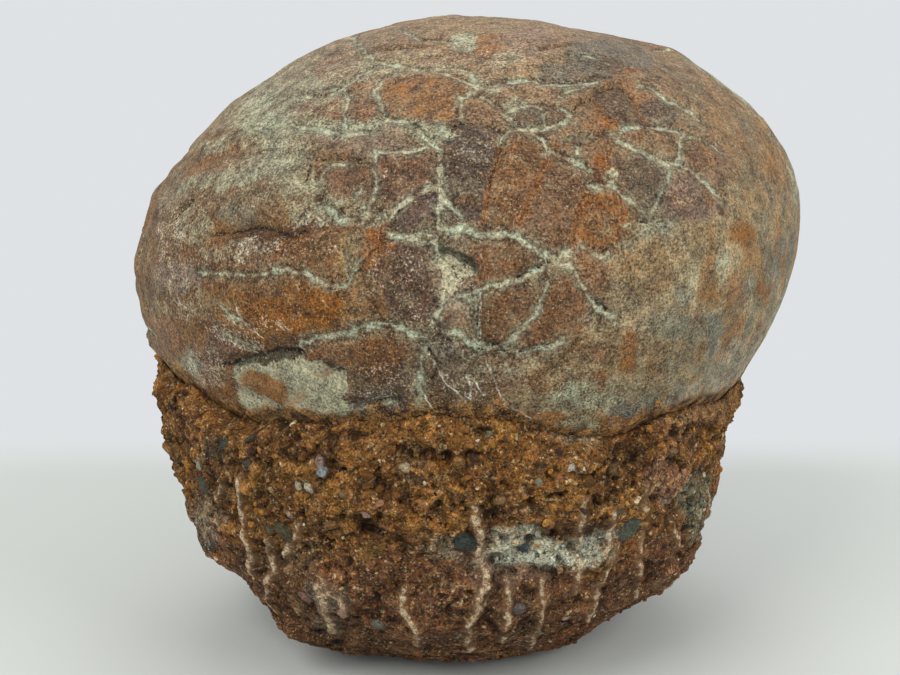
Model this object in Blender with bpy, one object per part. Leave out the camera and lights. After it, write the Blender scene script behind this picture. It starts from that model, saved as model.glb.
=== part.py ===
# Fossil dinosaur egg, half bedded in a worn block of the red sandstone that it was found in.
#
# Two pieces: the egg, a squat tilted ovoid whose shell is broken into plates, and the matrix,
# a cup of crumbly rock that wraps its underside and tapers to a small flat foot.
# Metres, +Z up. X runs along the egg's long side, -Y is its front. The origin is on the floor,
# under the middle of the whole piece.

import bpy
import bmesh
import numpy as np
from itertools import product
from math import radians
from mathutils import Vector

COLLECTION_NAME = "fossil_dinosaur_egg"

# Egg: a rolled superellipsoid about its centre
EGG_CENTRE = np.array((0.0, 0.0, 0.0904))
EGG_HALF_LENGTH = 0.0730      # along X before the roll
EGG_HALF_DEPTH = 0.0680       # along Y
EGG_RISE = 0.0466             # centre to crown
EGG_DROP = 0.0680             # centre to the hidden underside
EGG_POWER = 1.85              # 2 is an ellipsoid, less is a little more pointed
EGG_ROLL = radians(7.5)       # the +X end sits higher
CROWN_PULL = 0.28             # gathers vertices towards the crown, away from the hidden side

# Places on the egg are (longitude, latitude) in degrees seen from its centre:
# longitude 0 is +X, -90 is the front, latitude 90 is the crown.
# Broad swells and hollows: (longitude, latitude, radius in degrees, height in metres)
SWELLS = (
    (180, 58, 26, 0.0016),    # full left shoulder
    (180, 7, 6, 0.0014),      # broken corner at the left end
    (180, 16, 7, -0.0010),    # hollow above that corner
    (186, -17, 10, 0.0028),   # straight lower left flank
    (-1, 42, 6, 0.0014),      # thick flake on the right shoulder
    (3, 31, 6, -0.0003),      # step below the flake
    (-55, 46, 13, 0.0009),    # raised lens of shell near the crown
    (-93, 3, 5, -0.0016),     # chipped pit in the middle of the front
    (-78, -14, 14, -0.0006),  # flat cheek above the matrix
    (-9, -25, 9, -0.0018),    # drawn in below the right end
    (75, 20, 22, 0.0010),     # back left swell
    (35, 5, 18, -0.0010),     # back right flat
    (120, 35, 20, -0.0008),   # back shoulder dip
)

# Ledges where the shell steps in: (start, end, width in degrees, depth in metres)
LEDGES = (
    ((-135, 8), (-119, 8), 3.4, 0.0010),
    ((-134, -12), (-120, -11), 3.0, 0.0010),
    ((-116, -14), (-110, -14), 2.4, 0.0008),
    ((-70, 41), (-48, 41), 3.2, 0.0010),
    ((-176, 14), (-166, 3), 3.4, 0.0010),
    ((95, 12), (60, 4), 3.4, 0.0010),
    ((140, 28), (128, 8), 3.2, 0.0009),
)

# Middles of the shell plates on the front, crown and right shoulder
PLATE_MIDDLES = (
    (-89, 22), (-81, 17), (-74, 12), (-67, 9), (-61, 18), (-54, 12), (-49, 20),
    (-57, 26), (-67, 24), (-60, 35), (-48, 34), (-70, 38), (-79, 33), (-74, 28),
    (-100, 36), (-128, 32), (-135, 49), (-116, 50), (-141, 19), (-117, 17), (-103, 18),
    (-97, 11), (-84, 5), (-76, -6), (-84, -6), (-101, 3), (-94, -10), (-116, -4),
    (-131, -5), (-128, 14), (-115, 6), (-64, 1), (-89, -16), (-90, 56), (-75, 68),
    (-35, 55), (-150, 62), (-20, 75), (-30, 36), (-95, 74), (-160, 34), (-155, 5),
)
BACK_PLATES = 64              # plates spread over the rest of the shell
PLATE_SEED = 19
PLATE_SPACING = 14            # least angle between those middles, degrees
CRACK_DEPTH = 0.0010
RIM_MARGIN = 2.0              # the shell stays plain this close to the matrix, degrees
RELIEF_FADE = 6.0             # and its relief grows over this much above that
SNAP_REACH = 1.7              # vertices within this angle of a crack move onto it, degrees
SNAP_SHARE = 0.85             # how far they move, so that no triangle is squeezed flat
LEAST_RELIEF = 0.15           # share of the relief below which they stay where they are
PLATE_LIFT = 0.00040          # how much neighbouring plates differ in height

# The right side is worn smooth: its cracks fade out around this place
WORN_PLACE = (-22, -6)
WORN_RADIUS = 38              # degrees
WORN_SHARE = 0.85             # share of the relief that is lost there

# Matrix: rings of points around an upright axis
RING_POINTS = 92
FOOT_RINGS = 2
WALL_RINGS = 19
BOWL_RINGS = 8
MATRIX_AXIS_X = -0.0023
MATRIX_DEPTH_RATIO = 0.93     # front to back, against left to right
SEAT_GAP = 0.0005             # clearance between the seat and the egg
# Wavering line where the matrix ends on the egg: (azimuth, latitude) in degrees
RIM_LINE = (
    (0, -22), (14, -20), (30, -17), (46, -18), (62, -21), (78, -17), (92, -14), (106, -18),
    (122, -21), (138, -17), (152, -18), (166, -21), (180, -20), (198, -21), (214, -24),
    (230, -24.5), (248, -23.5), (260, -21), (272, -20), (279, -21), (288, -24.5), (298, -25.5),
    (306, -23), (318, -21), (336, -21),
)
RIM_LIP = 0.0004              # how far the matrix stands out from the egg at its rim
RIM_DROP = 0.0010             # how far the wall's top lies below the line on the egg
RIM_BLEND = 0.010             # height over which the wall meets the rim
WALL_GATHER = 1.25            # gathers the wall's rings towards the foot
SEAT_GATHER = 1.2             # gathers the seat's rings towards the rim
# Outer wall, foot to rim: (height, half length along X)
WALL_PROFILE = (
    (0.000, 0.0300), (0.003, 0.0365), (0.010, 0.0460), (0.020, 0.0570),
    (0.032, 0.0618), (0.045, 0.0648), (0.066, 0.0680),
)
# Lumps and hollows of the wall:
# (azimuth in degrees, height, azimuth radius in degrees, height radius, amount in metres)
WALL_LUMPS = (
    (227, 0.008, 13, 0.007, 0.0060),    # bulge low on the left
    (208, 0.014, 8, 0.006, -0.0034),    # notch beside that bulge
    (204, 0.024, 7, 0.005, 0.0014),     # shelf above the notch
    (196, 0.044, 20, 0.020, 0.0004),    # full left flank
    (344, 0.047, 24, 0.020, -0.0036),   # right flank undercut below the egg
    (352, 0.024, 12, 0.007, 0.0012),    # knob low on the right
    (318, 0.014, 6, 0.007, -0.0022),    # bite out of the lower right edge
    (282, 0.033, 9, 0.006, -0.0030),    # dark hollow under the front band
    (268, 0.024, 22, 0.009, 0.0016),    # brow below that hollow
    (250, 0.048, 26, 0.007, 0.0008),    # crumbly band, left
    (300, 0.050, 18, 0.007, 0.0010),    # crumbly band, right
    (90, 0.036, 24, 0.014, 0.0022),     # back swell
    (60, 0.018, 12, 0.009, -0.0026),    # back notch
    (128, 0.026, 14, 0.010, -0.0022),   # back left notch
    (30, 0.040, 14, 0.012, 0.0012),     # back right shoulder
)
# Upright ribs of harder vein rock: (azimuth in degrees, lean in degrees per metre of height)
RIBS = (
    (214, 60), (222, -40), (229, 80), (238, -60), (246, 60), (258, -80),
    (268, 40), (276, 50), (285, -30), (293, 20), (301, 60), (309, -50), (319, 40), (331, -40),
    (12, 50), (40, -60), (66, 50), (84, -40), (101, 60), (118, -30), (142, 60), (163, -50),
)
RIB_WIDTH = 3.4               # degrees
RIB_HEIGHT = 0.0014
RIB_LOW = 0.004               # ribs fade out below and above these heights
RIB_TOP = 0.040
RIB_FADE = 0.005
CRUMBLE_COARSE = 0.0020       # size of the rough surface's lumps
CRUMBLE_FINE = 0.0010
COARSE_SCALE = 0.016          # length of those lumps along the surface
FINE_SCALE = 0.007
FOOT_ROUGHNESS = 0.35         # share of the roughness at the foot's edge
FOOT_FADE = 0.004             # height over which it grows to its full size
RIM_ROUGHNESS = 0.2           # share of it along the rim

PEBBLE_STANDING = 0.45        # share of a pebble's radius that stands out of the wall
PEBBLE_SPREAD = 0.8
# Pebbles bedded in the wall: (azimuth in degrees, height, radius)
PEBBLES = (
    (294, 0.030, 0.0034), (276, 0.028, 0.0022), (264, 0.030, 0.0024), (228, 0.042, 0.0028),
    (214, 0.036, 0.0026), (238, 0.016, 0.0030), (322, 0.036, 0.0034), (20, 0.030, 0.0032),
    (74, 0.044, 0.0030), (104, 0.020, 0.0036), (152, 0.034, 0.0028),
)


def direction(longitude, latitude):
    """Unit vectors for longitudes and latitudes in degrees."""
    lon = np.radians(longitude)
    lat = np.radians(latitude)
    return np.stack((np.cos(lon) * np.cos(lat), np.sin(lon) * np.cos(lat), np.sin(lat)), axis=-1)


def angle_from(rays, place):
    """Angle in degrees between each ray and a (longitude, latitude) place."""
    return np.degrees(np.arccos(np.clip(rays @ direction(*place), -1.0, 1.0)))


def egg_radius(rays):
    """Distance from the egg's centre to its plain form along each ray."""
    turn_cos, turn_sin = np.cos(EGG_ROLL), np.sin(EGG_ROLL)
    along = rays[..., 0] * turn_cos + rays[..., 2] * turn_sin
    up = rays[..., 2] * turn_cos - rays[..., 0] * turn_sin
    half_height = np.where(up > 0.0, EGG_RISE, EGG_DROP)
    terms = (
        (np.abs(along) / EGG_HALF_LENGTH) ** EGG_POWER
        + (np.abs(rays[..., 1]) / EGG_HALF_DEPTH) ** EGG_POWER
        + (np.abs(up) / half_height) ** EGG_POWER
    )
    radius = terms ** (-1.0 / EGG_POWER)
    for longitude, latitude, spread, height in SWELLS:
        away = angle_from(rays, (longitude, latitude))
        radius = radius + height * np.exp(-((away / spread) ** 2))
    return radius


def lattice_slopes(cells, seed):
    """A fixed random slope vector, each part from -1 to 1, for every corner of a cubic lattice."""
    code = cells @ np.array((374761393, 668265263, 1103515245)) + seed * 362437
    slopes = []
    for turn in range(3):
        code = ((code ^ (code >> 13)) * 1274126177 + turn) & 0xFFFFFFFF
        slopes.append(code / 0x7FFFFFFF - 1.0)
    return np.stack(slopes, axis=-1)


def lattice_noise(places, size, seed):
    """Smooth noise about zero with lumps of the given size: slopes at lattice corners, eased."""
    grid = places / size
    base = np.floor(grid).astype(np.int64)
    part = grid - base
    ease = part * part * part * (part * (6.0 * part - 15.0) + 10.0)
    total = np.zeros(len(grid))
    for corner in product((0, 1), repeat=3):
        weight = np.prod(np.where(corner, ease, 1.0 - ease), axis=1)
        slope = lattice_slopes(base + np.array(corner), seed)
        total += weight * np.sum(slope * (part - np.array(corner)), axis=1)
    return total


def plate_middles():
    """Directions of all plate middles: the placed ones, then others kept apart by a spacing."""
    placed = np.array([direction(*place) for place in PLATE_MIDDLES])
    chance = np.random.default_rng(PLATE_SEED)
    closest = np.cos(np.radians(PLATE_SPACING))
    middles = list(placed)
    while len(middles) < len(placed) + BACK_PLATES:
        trial = chance.normal(size=3)
        trial /= np.linalg.norm(trial)
        if max(float(trial @ middle) for middle in middles) < closest:
            middles.append(trial)
    return np.array(middles)


def nearest_crack(rays, middles):
    """Nearest plate, and the signed angle and direction to the border with the next plate."""
    closeness = rays @ middles.T
    order = np.argsort(-closeness, axis=1)
    first = middles[order[:, 0]]
    second = middles[order[:, 1]]
    across = first - second
    across /= np.linalg.norm(across, axis=1, keepdims=True)
    offset = np.sum(rays * across, axis=1)
    return order[:, 0], np.degrees(np.arcsin(np.clip(offset, -1.0, 1.0))), across


def ledge_depth(rays):
    """Depth of the ledges: each is a short great-circle cut that fades to both sides."""
    depth = np.zeros(len(rays))
    for start, end, width, deepest in LEDGES:
        a = direction(*start)
        b = direction(*end)
        pole = np.cross(a, b)
        pole /= np.linalg.norm(pole)
        beside = np.degrees(np.arcsin(np.clip(rays @ pole, -1.0, 1.0)))
        middle = (a + b) / np.linalg.norm(a + b)
        half = np.degrees(np.arccos(np.clip(a @ b, -1.0, 1.0))) / 2.0
        along = np.degrees(np.arccos(np.clip(rays @ middle, -1.0, 1.0)))
        fade = np.clip(1.5 - along / half, 0.0, 1.0)
        depth += deepest * fade * np.exp(-((beside / width) ** 2))
    return depth


def material(name, colour, roughness):
    """Plain Principled material."""
    finish = bpy.data.materials.new(name)
    finish.use_nodes = True
    shader = finish.node_tree.nodes["Principled BSDF"]
    shader.inputs["Base Color"].default_value = (*colour, 1.0)
    shader.inputs["Roughness"].default_value = roughness
    shader.inputs["Metallic"].default_value = 0.0
    return finish


def add_object(name, shape, finish, collection):
    """Turn a bmesh into a named, smooth-shaded object in the collection."""
    mesh = bpy.data.meshes.new(name)
    shape.to_mesh(mesh)
    shape.free()
    mesh.materials.append(finish)
    mesh.shade_smooth()
    made = bpy.data.objects.new(name, mesh)
    collection.objects.link(made)
    return made


def build_egg(collection):
    """A sphere of even triangles, moved ray by ray onto the egg's form."""
    shape = bmesh.new()
    bmesh.ops.create_icosphere(shape, subdivisions=5, radius=1.0)
    rays = np.array([vertex.co for vertex in shape.verts], dtype=float)
    rays[:, 2] += CROWN_PULL
    rays /= np.linalg.norm(rays, axis=1, keepdims=True)

    middles = plate_middles()
    latitude = np.degrees(np.arcsin(rays[:, 2]))
    longitude = np.degrees(np.arctan2(rays[:, 1], rays[:, 0]))
    exposed = np.clip((latitude - rim_latitude(longitude) - RIM_MARGIN) / RELIEF_FADE, 0.0, 1.0)
    worn = np.exp(-((angle_from(rays, WORN_PLACE) / WORN_RADIUS) ** 4))
    relief = exposed * (1.0 - WORN_SHARE * worn)

    # Vertices close to a crack move sideways onto it, so that it runs as a clean line
    plate, offset, across = nearest_crack(rays, middles)
    close = (np.abs(offset) < SNAP_REACH) & (relief > LEAST_RELIEF)
    shift = np.sin(np.radians(offset))[:, None] * across
    rays = np.where(close[:, None], rays - SNAP_SHARE * shift, rays)
    rays /= np.linalg.norm(rays, axis=1, keepdims=True)
    in_crack = np.where(close, 1.0, 0.0)

    chance = np.random.default_rng(PLATE_SEED + 1)
    lift = chance.uniform(-1.0, 1.0, len(middles)) * PLATE_LIFT
    height = lift[plate] * (1.0 - in_crack) - CRACK_DEPTH * in_crack
    radius = egg_radius(rays) + relief * height - exposed * ledge_depth(rays)
    places = EGG_CENTRE + rays * radius[:, None]
    for vertex, place in zip(shape.verts, places):
        vertex.co = Vector(place)
    return add_object("egg", shape, material("fossil_shell", (0.30, 0.17, 0.11), 0.72), collection)


def rim_latitude(azimuth):
    """Latitude of the line on the egg where the matrix ends."""
    place, latitude = np.array(RIM_LINE, dtype=float).T
    return np.interp(azimuth % 360.0, place, latitude, period=360.0)


def wall_relief(azimuth, height):
    """Lumps, ribs and pebbles of the wall, as metres outwards."""
    amount = np.zeros_like(height)
    for place, level, spread, rise, size in WALL_LUMPS:
        turn = (azimuth - place + 180.0) % 360.0 - 180.0
        amount += size * np.exp(-((turn / spread) ** 2) - ((height - level) / rise) ** 2)
    rising = np.clip((height - RIB_LOW) / RIB_FADE, 0.0, 1.0)
    ending = np.clip((RIB_TOP - height) / RIB_FADE, 0.0, 1.0)
    for place, lean in RIBS:
        turn = (azimuth - place - lean * (height - RIB_LOW) + 180.0) % 360.0 - 180.0
        amount += RIB_HEIGHT * rising * ending * np.exp(-((turn / RIB_WIDTH) ** 2))
    for place, level, size in PEBBLES:
        turn = (azimuth - place + 180.0) % 360.0 - 180.0
        across = np.radians(turn) * EGG_HALF_DEPTH
        reach = (across**2 + (height - level) ** 2) / (PEBBLE_SPREAD * size) ** 2
        amount += PEBBLE_STANDING * size * np.exp(-reach)
    return amount


def crumble(places):
    """Rough surface of the rock at each place: large lumps with smaller ones on them."""
    coarse = lattice_noise(places, COARSE_SCALE, 3) + 0.5 * lattice_noise(places, COARSE_SCALE / 2.0, 4)
    fine = lattice_noise(places, FINE_SCALE, 5)
    return CRUMBLE_COARSE * coarse + CRUMBLE_FINE * fine


def build_matrix(collection):
    """
    A sphere whose rings are moved onto the block: its lower rings make the flat foot and the
    outer wall, and its upper rings turn in at the rim and line the seat under the egg.
    """
    shape = bmesh.new()
    rings = FOOT_RINGS + WALL_RINGS + BOWL_RINGS
    bmesh.ops.create_uvsphere(shape, u_segments=RING_POINTS, v_segments=rings + 1, radius=1.0)
    rays = np.array([vertex.co for vertex in shape.verts], dtype=float)
    azimuth = np.degrees(np.arctan2(rays[:, 1], rays[:, 0])) % 360.0
    polar = np.degrees(np.arccos(np.clip(-rays[:, 2], -1.0, 1.0)))
    ring = polar / (180.0 / (rings + 1))

    # The rim: a point of the egg's plain form, with the seat's gap
    rim_ray = direction(azimuth, rim_latitude(azimuth))
    rim = EGG_CENTRE + rim_ray * (egg_radius(rim_ray) + SEAT_GAP)[:, None]

    # Wall: the profile, stretched to the rim's height, with its lumps
    climb = np.clip((ring - FOOT_RINGS) / WALL_RINGS, 0.0, 1.0)
    top = rim[:, 2] - RIM_DROP
    height = top * climb**WALL_GATHER
    level, half = np.array(WALL_PROFILE).T
    turn = np.radians(azimuth)
    plan = 1.0 / np.sqrt(np.cos(turn) ** 2 + (np.sin(turn) / MATRIX_DEPTH_RATIO) ** 2)
    wall = np.interp(height, level, half) * plan + wall_relief(azimuth, height)
    out = np.stack((np.cos(turn), np.sin(turn), np.zeros_like(turn)), axis=-1)
    axis = np.array((MATRIX_AXIS_X, 0.0, 0.0))
    smooth_places = axis + out * wall[:, None]
    smooth_places[:, 2] = height
    rough = crumble(smooth_places)
    off_foot = np.clip(height / FOOT_FADE, 0.0, 1.0)
    wall = wall + rough * (FOOT_ROUGHNESS + (1.0 - FOOT_ROUGHNESS) * off_foot)
    meet = np.clip((height - top + RIM_BLEND) / RIM_BLEND, 0.0, 1.0) ** 2
    wall_places = axis + out * wall[:, None]
    rim_places = rim + out * (RIM_LIP + RIM_ROUGHNESS * np.abs(rough))[:, None]
    wall_places = wall_places * (1.0 - meet[:, None]) + rim_places * meet[:, None]
    wall_places[:, 2] = height

    # Foot: flat rings inside the wall's first ring
    foot_places = axis + out * (wall * np.clip(ring / FOOT_RINGS, 0.0, 1.0))[:, None]

    # Seat: down the egg's underside to the point below its centre
    dip = np.clip((ring - FOOT_RINGS - WALL_RINGS) / (BOWL_RINGS + 1), 0.0, 1.0) ** SEAT_GATHER
    seat_ray = direction(azimuth, rim_latitude(azimuth) * (1.0 - dip) - 90.0 * dip)
    seat_places = EGG_CENTRE + seat_ray * (egg_radius(seat_ray) + SEAT_GAP)[:, None]

    places = np.where((ring < FOOT_RINGS - 0.5)[:, None], foot_places, wall_places)
    places = np.where((ring > FOOT_RINGS + WALL_RINGS + 0.5)[:, None], seat_places, places)
    for vertex, place in zip(shape.verts, places):
        vertex.co = Vector(place)
    above_foot = [face for face in shape.faces if face.calc_center_median().z > 1e-5]
    bmesh.ops.triangulate(shape, faces=above_foot)
    finish = material("red_matrix", (0.20, 0.105, 0.06), 0.92)
    return add_object("matrix", shape, finish, collection)


def centre_on_floor(pieces):
    """Move the pieces together, so that the origin is under the middle of their common box."""
    corners = np.array([vertex.co for piece in pieces for vertex in piece.data.vertices])
    low, high = corners.min(axis=0), corners.max(axis=0)
    shift = Vector((-(low[0] + high[0]) / 2.0, -(low[1] + high[1]) / 2.0, -low[2]))
    for piece in pieces:
        for vertex in piece.data.vertices:
            vertex.co += shift
        piece.data.update()
    print("moved by", tuple(round(1000.0 * value, 3) for value in shift), "mm")


def main():
    for old in list(bpy.data.objects):
        bpy.data.objects.remove(old, do_unlink=True)
    collection = bpy.data.collections.new(COLLECTION_NAME)
    bpy.context.scene.collection.children.link(collection)
    egg = build_egg(collection)
    matrix = build_matrix(collection)
    centre_on_floor((egg, matrix))


main()
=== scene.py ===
# Looks of a fossil dinosaur egg, half bedded in a worn block of red sandstone.
from itertools import product

import bpy
import numpy as np
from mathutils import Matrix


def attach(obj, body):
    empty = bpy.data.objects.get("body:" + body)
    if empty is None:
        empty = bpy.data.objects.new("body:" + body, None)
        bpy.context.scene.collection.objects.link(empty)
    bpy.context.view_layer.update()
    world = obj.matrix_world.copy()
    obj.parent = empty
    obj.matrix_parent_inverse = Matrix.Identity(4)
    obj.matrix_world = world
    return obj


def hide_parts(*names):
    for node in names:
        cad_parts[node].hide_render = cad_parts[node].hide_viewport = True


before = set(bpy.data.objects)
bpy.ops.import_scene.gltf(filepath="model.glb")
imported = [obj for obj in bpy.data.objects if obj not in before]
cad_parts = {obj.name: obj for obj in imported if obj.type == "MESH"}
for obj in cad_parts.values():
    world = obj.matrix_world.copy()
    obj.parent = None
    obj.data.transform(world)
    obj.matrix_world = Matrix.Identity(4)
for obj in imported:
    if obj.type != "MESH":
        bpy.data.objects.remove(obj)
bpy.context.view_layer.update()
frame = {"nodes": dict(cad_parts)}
print("frame loaded:", ", ".join(frame["nodes"]))

# The camera, and the size of the picture that the picked places below are given in
camera = {
    "spot": (-0.0030, -0.28818, 0.13775),
    "aim": (-0.0030, 0.0, 0.0659),
    "lens": 52.0,
    "sensor": 36.0,
    "across": 900.0,
    "down": 675.0,
}

# The CAD model was moved by this much to stand over its origin, after its shape was worked out
modelShift = np.array((0.000378, -0.000370, 0.0))


def paint(red, green, blue):
    # screen colour, 0 to 255, as the light amounts that a shader takes
    value = np.array((red, green, blue)) / 255.0
    return np.where(value < 0.04045, value / 12.92, ((value + 0.055) / 1.055) ** 2.4)


def direction(longitude, latitude):
    # unit vectors: cosine and sine of the longitude, shortened by the latitude's cosine
    lon, lat = np.radians(longitude), np.radians(latitude)
    return np.stack((np.cos(lon) * np.cos(lat), np.sin(lon) * np.cos(lat), np.sin(lat)), axis=-1)


def unit(steps):
    # steps over their own lengths
    return steps / np.linalg.norm(steps, axis=-1, keepdims=True)


def eased(value, low, high):
    # 0 below low, 1 above high, and an S curve between them
    share = np.clip((value - low) / (high - low), 0.0, 1.0)
    return share * share * (3.0 - 2.0 * share)


def cellNumbers(cells, seed):
    # three chance numbers from -1 to 1 for each whole-number cell: its place is scrambled
    code = cells @ np.array((374761393, 668265263, 1103515245)) + seed * 362437
    numbers = []
    for turn in range(3):
        code = ((code ^ (code >> 13)) * 1274126177 + turn) & 0xFFFFFFFF
        numbers.append(code / 0x7FFFFFFF - 1.0)
    return np.stack(numbers, axis=-1)


def lumps(places, size, seed):
    # smooth lumps about zero: a chance slope at each lattice corner, eased from corner to corner
    grid = places / size
    base = np.floor(grid).astype(np.int64)
    part = grid - base
    ease = part * part * part * (part * (6.0 * part - 15.0) + 10.0)
    total = np.zeros(len(grid))
    for corner in product((0, 1), repeat=3):
        weight = np.prod(np.where(corner, ease, 1.0 - ease), axis=1)
        slope = cellNumbers(base + np.array(corner), seed)
        total += weight * np.sum(slope * (part - np.array(corner)), axis=1)
    return total


def lumpSteps(places, size, seeds):
    # lumps of one size in two or three directions, one seed for each
    return np.stack([lumps(places, size, seed) for seed in seeds], axis=-1)


def grains(places, size, seed):
    # packed grains: one middle in each lattice cell; distance to the nearest, its luck, and the gap
    grid = places / size
    base = np.floor(grid).astype(np.int64)
    nearest = np.full(len(grid), 9.0)
    second = np.full(len(grid), 9.0)
    luck = np.zeros(len(grid))
    for corner in product((-1, 0, 1), repeat=3):
        numbers = cellNumbers(base + np.array(corner), seed)
        away = np.linalg.norm(base + np.array(corner) + 0.5 + 0.42 * numbers - grid, axis=1)
        closer = away < nearest
        second = np.where(closer, nearest, np.minimum(second, away))
        nearest = np.where(closer, away, nearest)
        luck = np.where(closer, numbers[:, 0], luck)
    return nearest, luck, second - nearest


def cameraAxes():
    # a level camera's place, and its right, up and forward directions
    spot = np.array(camera["spot"])
    forward = unit(np.array(camera["aim"]) - spot)
    right = unit(np.cross(forward, (0.0, 0.0, 1.0)))
    return spot, right, np.cross(right, forward), forward


def pictureOf(places):
    # a place's sideways and upward offset over its depth, times the lens in picture units
    spot, right, up, forward = cameraAxes()
    away = places - spot
    focal = camera["lens"] / camera["sensor"] * camera["across"] / (away @ forward)
    x = camera["across"] / 2.0 + focal * (away @ right)
    y = camera["down"] / 2.0 - focal * (away @ up)
    return np.stack((x, y), axis=-1)


def sightLines(spots):
    # unit vectors from the camera through picked places of the picture
    spot, right, up, forward = cameraAxes()
    focal = camera["lens"] / camera["sensor"] * camera["across"]
    x = (spots[:, 0:1] - camera["across"] / 2.0) / focal
    y = (camera["down"] / 2.0 - spots[:, 1:2]) / focal
    return unit(forward + x * right + y * up)


def landOn(spots, outside):
    # first place along each line of sight where outside() drops to zero: even steps, then halving;
    # a line that misses stays at its closest approach
    spot = np.array(camera["spot"])
    lines = sightLines(np.array(spots, dtype=float))
    reach = np.linspace(0.16, 0.36, 160)
    tries = spot + lines[:, None, :] * reach[None, :, None]
    gap = outside(tries.reshape(-1, 3)).reshape(len(lines), -1)
    hit = (gap <= 0.0).any(axis=1)
    first = np.where(hit, np.argmax(gap <= 0.0, axis=1), np.argmin(gap, axis=1))
    far = reach[first]
    near = reach[np.maximum(first - 1, 0)]
    for turn in range(14):
        middle = (near + far) / 2.0
        inside = outside(spot + lines * middle[:, None]) <= 0.0
        far = np.where(hit & inside, middle, far)
        near = np.where(hit & ~inside, middle, near)
    return spot + lines * far[:, None]


def insideSpots(spots, outline, soft):
    # share of each picture place that lies inside an outline: distance to its nearest edge,
    # counted positive inside, eased over a soft border
    ring = np.array(outline, dtype=float)
    following = np.roll(ring, -1, axis=0)
    near = np.full(len(spots), 1e6)
    inside = np.zeros(len(spots), dtype=bool)
    for start, end in zip(ring, following):
        edge = end - start
        share = np.clip(((spots - start) @ edge) / (edge @ edge), 0.0, 1.0)
        near = np.minimum(near, np.linalg.norm(spots - start - share[:, None] * edge, axis=1))
        rise = edge[1] if abs(edge[1]) > 1e-9 else 1e-9
        crossing = start[0] + (spots[:, 1] - start[1]) / rise * edge[0]
        between = (start[1] > spots[:, 1]) != (end[1] > spots[:, 1])
        inside ^= between & (spots[:, 0] < crossing)
    return eased(np.where(inside, near, -near), -soft, soft)


def spotWash(spots, wash):
    # ellipse in the picture, 1 at its middle: a large one falls off as a bell, a small one is level
    # and has a narrow border; radii and turn are given
    x, y, wide, tall, turn = wash[:5]
    cosine, sine = np.cos(np.radians(turn)), np.sin(np.radians(turn))
    across = (spots[:, 0] - x) * cosine + (spots[:, 1] - y) * sine
    down = (spots[:, 1] - y) * cosine - (spots[:, 0] - x) * sine
    out = np.hypot(across / wide, down / tall)
    return np.exp(-out ** 3) if wide * tall > 1100 else eased(out, 1.25, 0.80)


def layColour(ground, share, colour):
    # moves the ground colour towards another by a share
    return ground + (colour - ground) * share[:, None]


def linesToPieces(lines, outside):
    # lines picked in the picture, put on a surface: start, end and half width of each short piece
    spots = np.concatenate([np.array(line[1:], dtype=float) for line in lines])
    landed = landOn(spots, outside)
    starts, ends, halves = [], [], []
    first = 0
    for line in lines:
        count = len(line) - 1
        starts.append(landed[first:first + count - 1])
        ends.append(landed[first + 1:first + count])
        halves.append(np.full(count - 1, line[0] / 2000.0))
        first += count
    return np.concatenate(starts), np.concatenate(ends), np.concatenate(halves)


def nearestPiece(places, pieces):
    # for each place: the step to the closest point of any line piece, its length, and the line's
    # half width there; a wide line counts as closer by half its width
    best = np.full(len(places), 0.02)
    step = np.zeros((len(places), 3))
    half = np.full(len(places), 0.0003)
    for start, end, wide in zip(*pieces):
        close = np.nonzero(np.abs(places - (start + end) / 2.0).max(axis=1) < 0.011)[0]
        if len(close) == 0:
            continue
        some = places[close]
        edge = end - start
        share = np.clip((some - start) @ edge / max(edge @ edge, 1e-12), 0.0, 1.0)
        towards = start + share[:, None] * edge - some
        length = np.linalg.norm(towards, axis=1) - 0.5 * wide
        closer = length < best[close]
        chosen = close[closer]
        best[chosen] = length[closer]
        step[chosen] = towards[closer]
        half[chosen] = wide
    far = np.where(best < 0.0199, np.linalg.norm(step, axis=1), 0.02)
    step[best >= 0.0199] = (0.0, 0.0, 0.02)
    return step, far, half


# Meshes and attributes

def makePiece(name, places, faces, materialMade, mapPlaces):
    # a mesh from whole arrays; faces may be triangles and quads; mapPlaces are per face corner
    mesh = bpy.data.meshes.new(name)
    counts = np.array([block.shape[1] for block in faces for _ in range(len(block))])
    corners = np.concatenate([block.ravel() for block in faces])
    mesh.vertices.add(len(places))
    mesh.vertices.foreach_set("co", places.astype(np.float32).ravel())
    mesh.loops.add(len(corners))
    mesh.loops.foreach_set("vertex_index", corners.astype(np.int32))
    mesh.polygons.add(len(counts))
    mesh.polygons.foreach_set("loop_start", (np.cumsum(counts) - counts).astype(np.int32))
    mesh.update(calc_edges=True)
    mesh.validate()
    layer = mesh.uv_layers.new(name="OFBake")
    layer.uv.foreach_set("vector", mapPlaces.astype(np.float32).ravel())
    mesh.materials.append(materialMade)
    mesh.shade_smooth()
    made = bpy.data.objects.new(name, mesh)
    bpy.context.scene.collection.objects.link(made)
    return made


def opaque(colours):
    # colours with a fourth value of 1
    return np.concatenate((colours, np.ones((len(colours), 1))), axis=1)


def keepValues(made, name, values):
    # stores one number, step or colour for each vertex under a name that the material reads
    kinds = {1: ("FLOAT", "value"), 3: ("FLOAT_VECTOR", "vector"), 4: ("FLOAT_COLOR", "color")}
    width = 1 if values.ndim == 1 else values.shape[1]
    kind, field = kinds[width]
    layer = made.data.attributes.new(name, kind, "POINT")
    layer.data.foreach_set(field, values.astype(np.float32).ravel())


# Material nodes

def addNode(tree, kind, wires=(), **settings):
    # adds a shader node; each wire is a socket and the value or output that feeds it
    made = tree.nodes.new("ShaderNode" + kind)
    for name, value in settings.items():
        setattr(made, name, value)
    for socket, value in wires:
        if isinstance(value, bpy.types.NodeSocket):
            tree.links.new(value, made.inputs[socket])
        else:
            made.inputs[socket].default_value = value
    return made


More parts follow.
